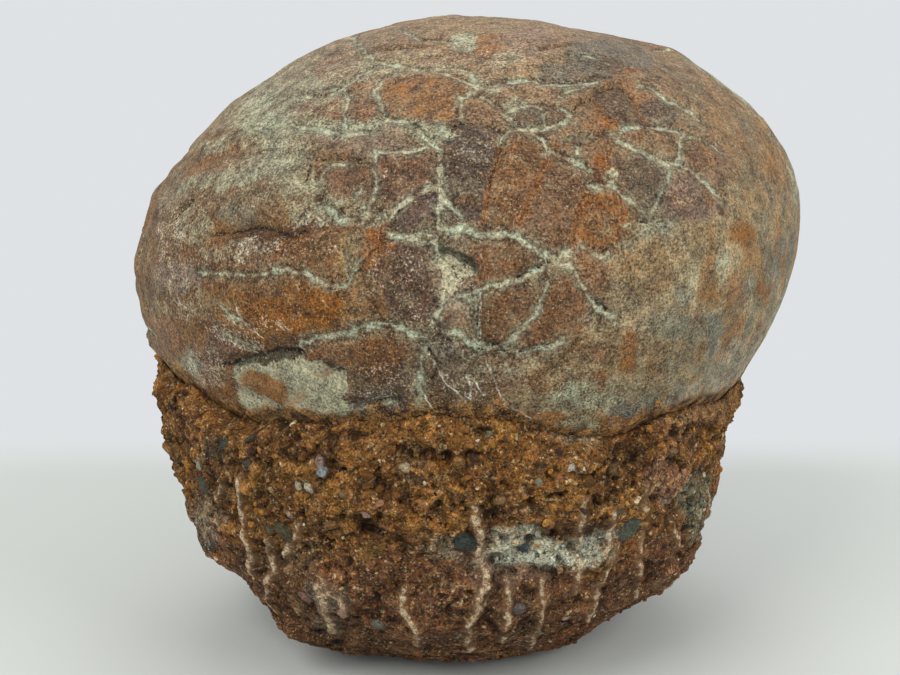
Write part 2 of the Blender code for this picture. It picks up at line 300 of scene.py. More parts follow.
def sums(tree, how, first, second):
    # one Math node; how is its operation
    return addNode(tree, "Math", [(0, first), (1, second)], operation=how).outputs[0]


def times(tree, first, second):
    return sums(tree, "MULTIPLY", first, second)


def plus(tree, first, second):
    return sums(tree, "ADD", first, second)


def vectors(tree, how, first, second=(0.0, 0.0, 0.0), scale=1.0, output=0):
    # one VectorMath node; how is its operation
    wires = [(0, first), (1, second), (3, scale)]
    return addNode(tree, "VectorMath", wires, operation=how).outputs[output]


def stepUp(tree, value, low, high):
    # 0 at low and 1 at high, eased between them
    wires = [("Value", value), ("From Min", low), ("From Max", high)]
    return addNode(tree, "MapRange", wires, interpolation_type="SMOOTHSTEP").outputs["Result"]


def spread(tree, value, low, high):
    # takes 0 to 1 onto low to high, without a limit
    return addNode(tree, "MapRange", [("Value", value), ("To Min", low), ("To Max", high)],
                   clamp=False).outputs["Result"]


def contrast(tree, value, low, high):
    # takes the middle of a noise, 0.3 to 0.7, onto low to high, and runs on past both
    wires = [("Value", value), ("From Min", 0.3), ("From Max", 0.7), ("To Min", low), ("To Max", high)]
    return addNode(tree, "MapRange", wires, clamp=False).outputs["Result"]


def mixColours(tree, share, first, second, how="MIX"):
    # first + (second - first) * share, or first * second when how says so
    made = addNode(tree, "Mix", data_type="RGBA", blend_type=how)
    for socket, value in ((0, share), (6, first), (7, second)):
        if isinstance(value, bpy.types.NodeSocket):
            tree.links.new(value, made.inputs[socket])
        elif socket == 0:
            made.inputs[0].default_value = value
        else:
            made.inputs[socket].default_value = (*value[:3], 1.0)
    return made.outputs[2]


def layOver(tree, colour, mask, strength, tone):
    # the colour moved towards a tone by a mask times a strength
    return mixColours(tree, times(tree, mask, strength), colour, tone)


def darkened(tree, colour, light):
    # the colour times a light, which may also be above 1
    return mixColours(tree, 1.0, colour, light, "MULTIPLY")


def cloudy(tree, where, scale, detail, roughness):
    # fractal noise, 0 to 1, with lumps 1/scale millimetres long
    wires = [("Vector", where), ("Scale", scale), ("Detail", detail), ("Roughness", roughness)]
    return addNode(tree, "TexNoise", wires)


def grainCells(tree, where, scale):
    # packed cells about 1/scale millimetres across: distance from the middle, and a chance colour
    return addNode(tree, "TexVoronoi", [("Vector", where), ("Scale", scale)])


def tintOver(tree, where, colour, scale, amount, tints):
    # patches 1/scale millimetres long in up to three tints, each where its own noise is high
    noise = cloudy(tree, where, scale, 3.0, 0.7).outputs["Color"]
    parts = addNode(tree, "SeparateColor", [(0, noise)]).outputs
    for part, (tone, least, strength) in zip(parts, tints):
        share = times(tree, stepUp(tree, part, least, least + 0.12), strength)
        colour = layOver(tree, colour, share, amount, tone)
    return colour


def stored(tree, name, output="Fac"):
    # reads what keepValues has stored
    return addNode(tree, "Attribute", attribute_name=name).outputs[output]


def newMaterial(name):
    made = bpy.data.materials.new(name)
    made.use_nodes = True
    tree = made.node_tree
    return made, tree, tree.nodes["Principled BSDF"]


def finishMaterial(tree, shader, colour, rough, height, looks):
    # wires colour, roughness and bump; looks gives the shine, the bump's height and its strength
    shine, rise, strength = looks
    bump = addNode(tree, "Bump", [("Height", height), ("Distance", rise), ("Strength", strength)])
    tree.links.new(colour, shader.inputs["Base Color"])
    tree.links.new(rough, shader.inputs["Roughness"])
    tree.links.new(bump.outputs[0], shader.inputs["Normal"])
    shader.inputs["Specular IOR Level"].default_value = shine


def millimetres(tree):
    # places on the object, in millimetres
    where = addNode(tree, "TexCoord").outputs["Object"]
    return vectors(tree, "SCALE", where, scale=1000.0)


def lineAway(tree, name, wobble):
    # how far the point is from a line, in millimetres, with a little wobble
    step = stored(tree, name + "Step", "Vector")
    length = vectors(tree, "LENGTH", vectors(tree, "ADD", step, wobble), output="Value")
    return sums(tree, "MAXIMUM", length, sums(tree, "SUBTRACT", stored(tree, name + "Far"), 0.6))


def bandMask(tree, away, half, fuzz, inner, outer):
    # 1 inside a band along a line and 0 outside it; its edge lies between the inner and the outer
    # share of the half width, and is moved in and out by a fuzz
    over = sums(tree, "DIVIDE", plus(tree, away, fuzz), half)
    return stepUp(tree, over, outer, inner)


def wobbleOf(tree, where, scale, amount, centre, spreads):
    # chance steps in millimetres, alike at places closer than 1/scale; the part of a step that
    # points away from the centre, along the axes that spreads picks, is taken off
    noise = cloudy(tree, where, scale, 3.0, 0.6).outputs["Color"]
    step = vectors(tree, "SCALE", vectors(tree, "SUBTRACT", noise, (0.5, 0.5, 0.5)), scale=amount)
    outward = vectors(tree, "MULTIPLY", vectors(tree, "SUBTRACT", where, centre), spreads)
    outward = vectors(tree, "NORMALIZE", outward)
    rise = vectors(tree, "DOT_PRODUCT", step, outward, output="Value")
    return vectors(tree, "SUBTRACT", step, vectors(tree, "SCALE", outward, scale=rise))


# The egg

shell = {
    "gridCount": 127,                # quads along each edge of the six sheets
    "gather": (0.0, -0.16, 0.36),    # draws the mesh towards the crown and the front
    "centre": (0.0, 0.0, 0.0904),
    "halfLength": 0.0730,
    "halfDepth": 0.0680,
    "rise": 0.0466,
    "drop": 0.0680,
    "power": 1.85,
    "roll": 7.5,
    "swells": (
        (180, 58, 26, 0.0008), (180, 7, 6, 0.0010), (180, 16, 7, -0.0010), (186, -17, 10, 0.0014),
        (-1, 42, 6, 0.0014), (3, 31, 6, -0.0003), (-55, 46, 13, 0.0009), (-93, 3, 5, -0.0016),
        (-78, -14, 14, -0.0006), (-9, -25, 9, -0.0018), (75, 20, 22, 0.0010),
        (35, 5, 18, -0.0010), (120, 35, 20, -0.0008), (-5, 60, 22, -0.0011), (182, -3, 8, -0.0008),
    ),
    "ledges": (
        ((-135, 8), (-119, 8), 2.8, 0.0016), ((-134, -12), (-120, -11), 3.0, 0.0010),
        ((-116, -14), (-110, -14), 2.4, 0.0008), ((-70, 41), (-48, 41), 3.2, 0.0010),
        ((-176, 14), (-166, 3), 3.4, 0.0010), ((95, 12), (60, 4), 3.4, 0.0010),
        ((140, 28), (128, 8), 3.2, 0.0009),
    ),
    "plateMiddles": (
        (-89, 22), (-81, 17), (-74, 12), (-67, 9), (-61, 18), (-54, 12), (-49, 20),
        (-57, 26), (-67, 24), (-60, 35), (-48, 34), (-70, 38), (-79, 33), (-74, 28),
        (-100, 36), (-128, 32), (-135, 49), (-116, 50), (-141, 19), (-117, 17), (-103, 18),
        (-97, 11), (-84, 5), (-76, -6), (-84, -6), (-101, 3), (-94, -10), (-116, -4),
        (-131, -5), (-128, 14), (-115, 6), (-64, 1), (-89, -16), (-90, 56), (-75, 68),
        (-35, 55), (-150, 62), (-20, 75), (-30, 36), (-95, 74), (-160, 34), (-155, 5),
    ),
    "borderHalf": (0.00020, 0.00055),    # half width of a chance crack: least, and what luck adds
    "bedRise": 0.0007,               # level beds on the left
    "pitDepth": 0.0008,
    "lensDepth": 0.0006,
    "soilThick": 0.0010,
    "roughness": (0.50, 0.80),
    "looks": (0.22, 0.0007, 0.9),    # shine, bump height in metres, bump strength
    "backPlates": 64,
    "plateSeed": 19,
    "plateSpacing": 14,
    "wornPlace": (-22, -6),
    "wornRadius": 38,
    "rimMargin": 0.2,
    "reliefFade": 2.5,
    "plateRise": 0.00030,            # metres that a plate stands above its cracks
    "crackDepth": {"pale": 0.00030, "rust": 0.00032, "dark": 0.00085},
    "undulation": ((0.014, 0.00060, 11), (0.006, 0.00036, 12), (0.0026, 0.00018, 13)),
    "tone": 0.77,                    # overall lightness of the shell
}

# Lines on the shell: width in millimetres, then places in the picture
shellLines = {
    "pale": (
        (0.5, (480, 96), (492, 103), (504, 113), (512, 128)),
        (0.9, (513, 129), (525, 130), (535, 130), (545, 130), (556, 125), (567, 120), (571, 114)),
        (0.5, (541, 106), (543, 118), (543, 130)),
        (0.5, (506, 112), (515, 108), (527, 105), (540, 106), (555, 106), (567, 112)),
        (0.9, (530, 133), (541, 140), (548, 150)),
        (1.2, (550, 151), (562, 157), (574, 162), (585, 167), (592, 172)),
        (0.7, (513, 129), (505, 135), (503, 142)), (0.4, (566, 140), (578, 138), (600, 136), (620, 133)),
        (0.4, (574, 142), (578, 150), (580, 160)),
        (0.7, (620, 133), (632, 128), (645, 126), (660, 129), (672, 129), (682, 132), (690, 137)),
        (0.8, (617, 142), (628, 147), (640, 151), (650, 157), (660, 160), (672, 165), (682, 166),
         (692, 172), (702, 180), (712, 190), (722, 199)),
        (0.4, (676, 163), (678, 158), (681, 150), (682, 137)),
        (0.4, (672, 168), (668, 178), (664, 190), (658, 200), (652, 212)),
        (0.6, (606, 178), (612, 186), (622, 195), (634, 205), (645, 212)),
        (0.8, (588, 185), (600, 187), (612, 185)),
        (0.6, (640, 85), (652, 88), (660, 95), (668, 102), (680, 107), (690, 112), (700, 120)),
        (0.4, (700, 140), (715, 147), (722, 155)), (0.7, (540, 83), (560, 84), (580, 83), (597, 82)),
        (0.5, (563, 55), (580, 55), (595, 57)),
        (1.0, (462, 98), (475, 92), (490, 85), (500, 83), (520, 81), (540, 80)),
        (0.6, (478, 86), (470, 72)), (0.5, (461, 118), (463, 100)),
        (0.8, (352, 38), (364, 52), (376, 62), (400, 66), (424, 70), (450, 76), (476, 86)),
        (0.6, (372, 70), (352, 82), (332, 94), (316, 98), (300, 96)),
        (0.6, (292, 126), (316, 130), (344, 136), (370, 132)),
        (0.5, (344, 84), (348, 100), (344, 118), (346, 134)), (0.5, (400, 30), (420, 40), (450, 42)),
        (0.5, (560, 96), (570, 90), (590, 84)), (0.4, (236, 134), (250, 128), (270, 132), (274, 150)),
        (0.7, (385, 80), (400, 70), (420, 70), (440, 68), (460, 68), (470, 72)),
        (0.6, (385, 80), (375, 90), (378, 102), (385, 118)),
        (0.8, (385, 120), (405, 122), (420, 132), (435, 145), (440, 150)),
        (0.8, (440, 150), (439, 165), (438, 180), (440, 190), (448, 202), (457, 213), (460, 220)),
        (0.8, (375, 153), (395, 152), (412, 152), (425, 148)),
        (0.9, (402, 203), (415, 195), (430, 188), (440, 182)), (0.4, (355, 200), (362, 188)),
        (0.9, (360, 217), (380, 217), (387, 222), (395, 212), (403, 202), (418, 194), (438, 185)),
        (1.1, (390, 235), (410, 237), (430, 236), (440, 230), (460, 228), (480, 233), (500, 236),
         (518, 236), (528, 246), (540, 253), (552, 258), (562, 264)),
        (0.7, (438, 185), (438, 210), (438, 240), (436, 260)), (0.8, (442, 295), (438, 310), (432, 325)),
        (0.6, (428, 340), (422, 360), (420, 380), (418, 410)),
        (0.9, (460, 298), (475, 293), (490, 288), (505, 283), (520, 280), (535, 272), (550, 266),
         (562, 264), (570, 265)),
        (0.8, (570, 265), (578, 278), (585, 290), (592, 300), (595, 308), (605, 312), (615, 316)),
        (0.5, (555, 258), (570, 252)), (0.5, (583, 248), (590, 250), (597, 256), (604, 260), (610, 248)),
        (0.5, (550, 272), (548, 285), (541, 298), (535, 315), (525, 325), (515, 335), (507, 345)),
        (0.4, (473, 297), (475, 310), (477, 325), (480, 340)),
        (1.1, (443, 332), (460, 335), (470, 343), (480, 350), (495, 349), (505, 352), (520, 353),
         (540, 350), (555, 345), (562, 340)),
        (1.2, (295, 348), (310, 342), (325, 338), (340, 335), (355, 330), (375, 325), (390, 323),
         (405, 330), (415, 338), (425, 335)),
        (0.8, (198, 273), (215, 274), (235, 275), (255, 276), (275, 272), (290, 270), (303, 272),
         (315, 280), (330, 285), (345, 288)), (0.35, (345, 288), (353, 276), (360, 262)),
        (0.3, (346, 256), (350, 270), (352, 280)),
        (0.6, (320, 205), (335, 212), (338, 220), (345, 220), (360, 217)),
        (0.5, (222, 308), (235, 320), (250, 325)), (0.5, (225, 335), (240, 345), (255, 352)),
        (0.5, (350, 409), (375, 406), (395, 404)),
        (0.5, (375, 153), (372, 170), (376, 185), (372, 202), (362, 214)),
        (0.35, (322, 172), (318, 190), (322, 203)), (0.35, (322, 172), (335, 163), (352, 165)),
    ),
    "blush": (
        (2.3, (438, 170), (438, 210), (438, 240), (434, 262), (438, 282), (442, 298), (438, 315),
         (432, 330), (426, 345), (420, 365), (416, 385), (416, 410)),
        (1.4, (455, 262), (458, 280), (450, 295), (444, 305)), (1.2, (402, 203), (390, 214), (372, 217)),
    ),
    "scratch": (
        (0.34, (430, 355), (440, 375), (447, 383), (463, 398), (472, 411)),
        (0.3, (463, 350), (465, 367), (468, 383), (470, 403)),
        (0.34, (483, 353), (493, 377), (500, 393), (510, 407), (530, 417)),
        (0.3, (440, 375), (453, 369), (463, 366), (470, 360), (477, 353)),
        (0.34, (423, 395), (431, 404), (438, 413)), (0.3, (492, 403), (492, 413)),
        (0.26, (445, 377), (453, 366), (463, 365)), (0.3, (467, 373), (475, 384), (484, 394)),
        (0.22, (168, 298), (185, 305), (195, 310), (205, 306)), (0.2, (190, 312), (188, 325)),
        (0.34, (479, 293), (480, 310), (481, 330), (482, 344)), (0.26, (345, 402), (370, 399), (392, 396)),
        (0.22, (236, 300), (240, 318), (250, 332), (262, 342)), (0.2, (300, 205), (312, 214), (322, 222)),
    ),
    "rust": (
        (0.7, (503, 142), (497, 160), (492, 175), (488, 190), (486, 205), (482, 228)),
        (0.9, (550, 151), (553, 154), (546, 165), (541, 172), (538, 183), (531, 195), (527, 207),
         (518, 225)),
        (0.7, (572, 114), (568, 120), (566, 125), (564, 133), (566, 142), (556, 147), (548, 150)),
        (0.9, (592, 172), (586, 190), (580, 210), (576, 230), (574, 250)),
        (1.4, (385, 225), (380, 235), (378, 245), (370, 255), (360, 270)),
        (0.5, (636, 100), (640, 110), (645, 122)), (0.5, (200, 165), (225, 155), (240, 150), (230, 145)),
        (1.0, (618, 140), (610, 152), (600, 162), (594, 170)),
        (0.5, (590, 100), (598, 108), (605, 118), (618, 128)),
    ),
    "dark": (
        (0.45, (572, 112), (580, 103), (588, 100), (598, 92), (605, 87)),
        (0.35, (480, 351), (500, 351), (520, 352), (540, 350)), (0.5, (565, 358), (572, 348), (578, 340)),
        (0.8, (215, 235), (230, 233), (240, 229), (250, 228), (262, 230), (275, 233), (290, 238),
         (305, 232)), (1.0, (225, 365), (240, 361), (260, 357), (275, 352), (295, 353), (303, 356)),
        (0.9, (323, 365), (332, 370), (343, 371)), (0.5, (350, 405), (375, 402), (395, 400)),
        (0.7, (196, 193), (190, 203), (180, 212), (175, 218)), (0.8, (155, 202), (150, 212), (145, 222)),
        (0.4, (300, 160), (330, 159), (365, 158)), (0.6, (308, 168), (304, 183)),
        (0.35, (449, 138), (455, 125), (466, 121), (480, 123), (494, 127), (503, 134), (503, 144)),
        (0.3, (592, 100), (605, 89), (622, 87), (636, 100)), (0.3, (500, 150), (494, 170), (488, 190)),
        (0.22, (467, 262), (462, 270), (466, 279), (460, 286)), (0.22, (473, 266), (462, 270), (452, 268)),
        (0.22, (462, 270), (455, 279)), (0.3, (404, 205), (395, 218), (388, 230)),
        (0.3, (552, 262), (536, 270), (516, 278)), (0.3, (500, 345), (482, 344), (478, 322)),
        (0.4, (424, 342), (438, 362), (432, 378)), (0.4, (390, 50), (405, 48), (420, 47)),
        (0.4, (540, 50), (555, 47), (570, 44)), (0.6, (540, 81), (570, 80), (597, 79)),
        (0.8, (596, 74), (602, 76), (608, 77)), (0.5, (592, 298), (600, 303), (608, 310)),
        (0.5, (640, 222), (648, 222)), (0.4, (720, 185), (725, 198)),
    ),
}

# Plates that show from the front, each an outline in the picture and its colour
shellPlates = (
    ((104, 70, 44), ((484, 242), (505, 238), (518, 240), (528, 250), (545, 258), (552, 262), (535, 268),
     (518, 277), (500, 282), (480, 290), (478, 275), (480, 258))),
    ((102, 72, 46), ((480, 296), (500, 290), (520, 284), (545, 274), (543, 290), (536, 305), (530, 318),
     (515, 332), (500, 345), (482, 345), (478, 320))),
    ((116, 78, 46), ((553, 270), (568, 268), (580, 285), (592, 303), (597, 315), (590, 325), (575, 335),
     (555, 343), (530, 347), (512, 345), (530, 325), (540, 310), (545, 292))),
    ((92, 70, 56), ((400, 240), (436, 240), (434, 258), (438, 280), (440, 300), (430, 320), (415, 325),
     (395, 318), (385, 300), (390, 270))),
    ((92, 80, 72), ((432, 345), (440, 335), (460, 340), (470, 350), (460, 360), (445, 365), (432, 365))),
    ((88, 72, 66), ((400, 205), (438, 190), (438, 228), (390, 228))),
    ((84, 72, 66), ((440, 195), (458, 215), (440, 222))),
    ((118, 84, 54), ((510, 138), (528, 134), (540, 142), (550, 152), (540, 172), (536, 185), (528, 200),
     (524, 215), (515, 228), (490, 232), (482, 228), (486, 205), (490, 190), (498, 165), (503, 148))),
    ((112, 82, 58), ((553, 155), (575, 165), (590, 172), (586, 190), (580, 212), (575, 235), (572, 250),
     (555, 256), (540, 250), (525, 240), (518, 225), (528, 205), (535, 190), (540, 175))),
    ((130, 82, 42), ((592, 185), (615, 188), (630, 205), (632, 225), (620, 245), (605, 255), (580, 255),
     (576, 240), (580, 215), (586, 195))),
    ((86, 72, 63), ((448, 125), (460, 121), (480, 123), (500, 130), (502, 142), (499, 160), (492, 178),
     (487, 190), (482, 220), (460, 220), (450, 205), (440, 185), (441, 160), (446, 140))),
    ((108, 76, 56), ((378, 158), (400, 156), (420, 150), (432, 148), (438, 155), (438, 182), (425, 190),
     (410, 198), (400, 205), (375, 200), (376, 180))),
    ((112, 84, 64), ((322, 172), (335, 163), (350, 165), (362, 172), (362, 185), (355, 197), (340, 203),
     (325, 200))),
    ((144, 104, 66), ((400, 78), (460, 72), (478, 86), (462, 98), (461, 118), (420, 120), (385, 120),
     (378, 100), (375, 90), (385, 80))),
    ((84, 68, 56), ((510, 112), (527, 107), (541, 108), (541, 127), (514, 127))),
    ((108, 82, 60), ((544, 107), (555, 108), (567, 113), (564, 121), (555, 124), (545, 127))),
    ((94, 76, 58), ((592, 100), (605, 88), (622, 86), (638, 104), (644, 122), (630, 128), (618, 128),
     (605, 118), (598, 108))),
    ((92, 82, 74), ((640, 102), (655, 98), (668, 104), (678, 118), (668, 127), (648, 125))),
    ((104, 98, 86), ((560, 45), (590, 42), (615, 41), (635, 45), (650, 55), (656, 66), (640, 70),
     (625, 70), (612, 76), (603, 78), (590, 72), (575, 68))),
    ((112, 104, 90), ((540, 64), (575, 62), (597, 72), (597, 80), (540, 80))),
    ((98, 80, 64), ((606, 158), (640, 154), (670, 168), (664, 190), (652, 210), (634, 203), (612, 184),
     (596, 172))),
    ((124, 100, 84), ((676, 172), (700, 182), (716, 200), (700, 220), (664, 222), (656, 212), (668, 188))),
    ((124, 92, 62), ((190, 155), (205, 135), (235, 128), (262, 132), (265, 155), (240, 162), (215, 170),
     (185, 178))), ((120, 94, 74), ((686, 142), (715, 140), (735, 160), (722, 165), (695, 160))),
)

# Broad colours of the shell: ellipse in the picture (x, y, radii, turn), colour, and its share
shellWashes = (
    ((450, 60, 330, 80, 0), (147, 123, 92), 0.95), ((250, 110, 120, 70, -35), (136, 110, 78), 0.9),
    ((260, 200, 140, 50, -15), (120, 90, 58), 0.85), ((250, 300, 160, 90, 0), (114, 79, 44), 0.95),
    ((450, 200, 120, 90, 0), (118, 90, 68), 0.7), ((600, 150, 110, 70, 0), (124, 96, 70), 0.7),
    ((710, 300, 140, 150, 0), (164, 145, 110), 1.0), ((560, 390, 170, 45, 0), (146, 128, 94), 0.9),
    ((430, 385, 90, 45, 0), (88, 72, 56), 0.9), ((410, 270, 56, 80, 0), (100, 78, 62), 0.8),
    ((330, 310, 70, 34, 0), (118, 76, 32), 0.9), ((620, 60, 60, 30, 10), (124, 106, 84), 0.6),
    ((612, 130, 26, 14, 0), (142, 88, 44), 0.8), ((600, 168, 12, 14, 0), (146, 90, 44), 0.8),
    ((628, 90, 26, 10, 20), (138, 94, 56), 0.6), ((560, 350, 40, 16, 0), (120, 94, 66), 0.6),
    ((165, 250, 26, 110, 6), (122, 98, 72), 0.7), ((290, 105, 100, 55, -32), (146, 138, 114), 0.85),
    ((272, 140, 26, 60, 8), (152, 150, 128), 0.8), ((420, 130, 34, 12, 10), (158, 156, 132), 0.8),
    ((420, 52, 60, 14, 0), (144, 112, 82), 0.8), ((338, 68, 24, 14, -10), (140, 102, 80), 0.85),
    ((318, 113, 28, 16, -8), (132, 80, 54), 0.9), ((361, 100, 18, 18, 0), (136, 94, 66), 0.85),
    ((362, 143, 46, 14, 4), (138, 118, 102), 0.7), ((254, 147, 18, 12, -20), (126, 84, 56), 0.85),
    ((492, 48, 17, 14, 0), (150, 98, 56), 0.8), ((530, 42, 32, 13, 0), (148, 122, 102), 0.7),
    ((486, 110, 22, 14, 0), (130, 98, 72), 0.85), ((465, 44, 12, 10, 0), (166, 166, 140), 0.8),
    ((178, 278, 22, 16, 0), (142, 124, 110), 0.8), ((238, 214, 20, 11, 0), (126, 122, 104), 0.75),
    ((248, 252, 50, 17, 0), (122, 84, 58), 0.8), ((296, 308, 46, 27, -6), (120, 72, 18), 0.95),
    ((316, 216, 26, 12, 0), (78, 54, 40), 0.75), ((349, 262, 10, 22, 0), (142, 118, 72), 0.8),
    ((380, 252, 22, 24, 0), (104, 70, 50), 0.85), ((379, 358, 22, 26, 0), (96, 66, 44), 0.85),
    ((376, 400, 28, 14, 0), (88, 76, 68), 0.8), ((193, 368, 13, 18, -20), (158, 158, 138), 0.8),
    ((163, 338, 16, 22, 0), (142, 106, 82), 0.8), ((220, 345, 16, 16, 0), (106, 82, 68), 0.8),
    ((210, 390, 20, 24, -30), (128, 84, 48), 0.8), ((170, 188, 22, 20, 0), (142, 128, 104), 0.8),
    ((230, 186, 36, 18, -10), (132, 106, 80), 0.75), ((232, 162, 36, 11, -14), (148, 124, 102), 0.75),
    # the thin dark brown wash at (270, 240), just under the ledge, is painted shadow
    ((295, 172, 20, 22, 0), (140, 134, 110), 0.75), ((270, 240, 46, 6, 0), (72, 50, 34), 0.8),
    ((340, 348, 30, 10, -10), (128, 84, 52), 0.7), ((739, 234, 14, 13, 0), (162, 116, 66), 0.9),
    ((756, 264, 9, 19, 0), (152, 118, 74), 0.85), ((761, 294, 8, 13, 0), (152, 112, 68), 0.85),
    ((708, 284, 12, 32, 6), (158, 120, 74), 0.85), ((736, 318, 11, 42, 4), (152, 108, 66), 0.85),
    ((628, 350, 11, 20, 8), (142, 100, 58), 0.85), ((657, 366, 13, 24, 4), (130, 102, 66), 0.85),
    ((690, 348, 18, 12, 0), (132, 110, 78), 0.8), ((600, 378, 9, 12, 0), (142, 90, 48), 0.85),
    ((594, 351, 18, 9, 0), (118, 88, 58), 0.8), ((714, 330, 13, 12, 0), (110, 112, 104), 0.8),
    ((714, 351, 7, 10, 0), (108, 112, 106), 0.75), ((652, 405, 15, 9, 0), (116, 116, 104), 0.8),
    ((624, 411, 16, 9, 0), (108, 112, 106), 0.85), ((783, 258, 12, 20, 8), (118, 118, 106), 0.8),
    ((681, 297, 9, 10, 0), (152, 150, 128), 0.8), ((655, 230, 20, 10, 0), (152, 144, 118), 0.85),
    ((646, 270, 26, 30, 0), (146, 118, 80), 0.8), ((772, 344, 22, 32, 10), (148, 138, 116), 0.7),
    ((590, 276, 20, 24, 0), (140, 94, 60), 0.75), ((690, 200, 30, 22, 0), (134, 112, 98), 0.8),
    ((706, 165, 26, 22, 20), (124, 92, 72), 0.75), ((666, 320, 22, 14, 0), (136, 132, 108), 0.8),
    ((608, 320, 12, 20, 0), (108, 88, 64), 0.7), ((570, 400, 34, 14, 0), (140, 134, 104), 0.8),
    # the pale grey washes at (738, 368) and (690, 393) are the shell's greyer colour with a painted sheen
    # over it
    ((545, 380, 20, 14, 0), (138, 96, 58), 0.75), ((738, 368, 36, 24, -40), (172, 160, 136), 0.8),
    ((690, 393, 40, 12, -20), (156, 150, 130), 0.75), ((500, 375, 26, 20, 0), (112, 84, 62), 0.75),
    ((460, 300, 22, 26, 0), (140, 122, 102), 0.6),
)

# Tints mottled over the shell: patches per millimetre, then the least noise and the strength of
# umber, veil and stain
shellTints = (
    (0.10, (0.51, 0.24), (0.54, 0.20), (0.54, 0.18)),
    (0.26, (0.50, 0.34), (0.54, 0.28), (0.54, 0.22)),
    (0.80, (0.51, 0.38), (0.56, 0.32), (0.56, 0.16)),
)

# Outlines in the picture: a pale patch, a chipped pit and its shade, and the dark lens along the
# top of the patch
patchOutline = (
    (232, 358), (246, 364), (270, 361), (300, 356), (322, 364), (346, 370), (349, 384), (345, 396),
    (349, 410), (330, 424), (296, 424), (266, 420), (250, 408), (240, 388),
)
pitOutline = (
    (440, 252), (460, 255), (478, 264), (471, 275), (460, 284), (454, 289), (445, 286), (439, 270),
)
pitShadeOutline = ((438, 247), (462, 249), (480, 262), (474, 272), (458, 260), (442, 259))
lensOutline = (
    (226, 365), (246, 359), (272, 352), (296, 350), (305, 355), (290, 360), (262, 363), (240, 367),
)
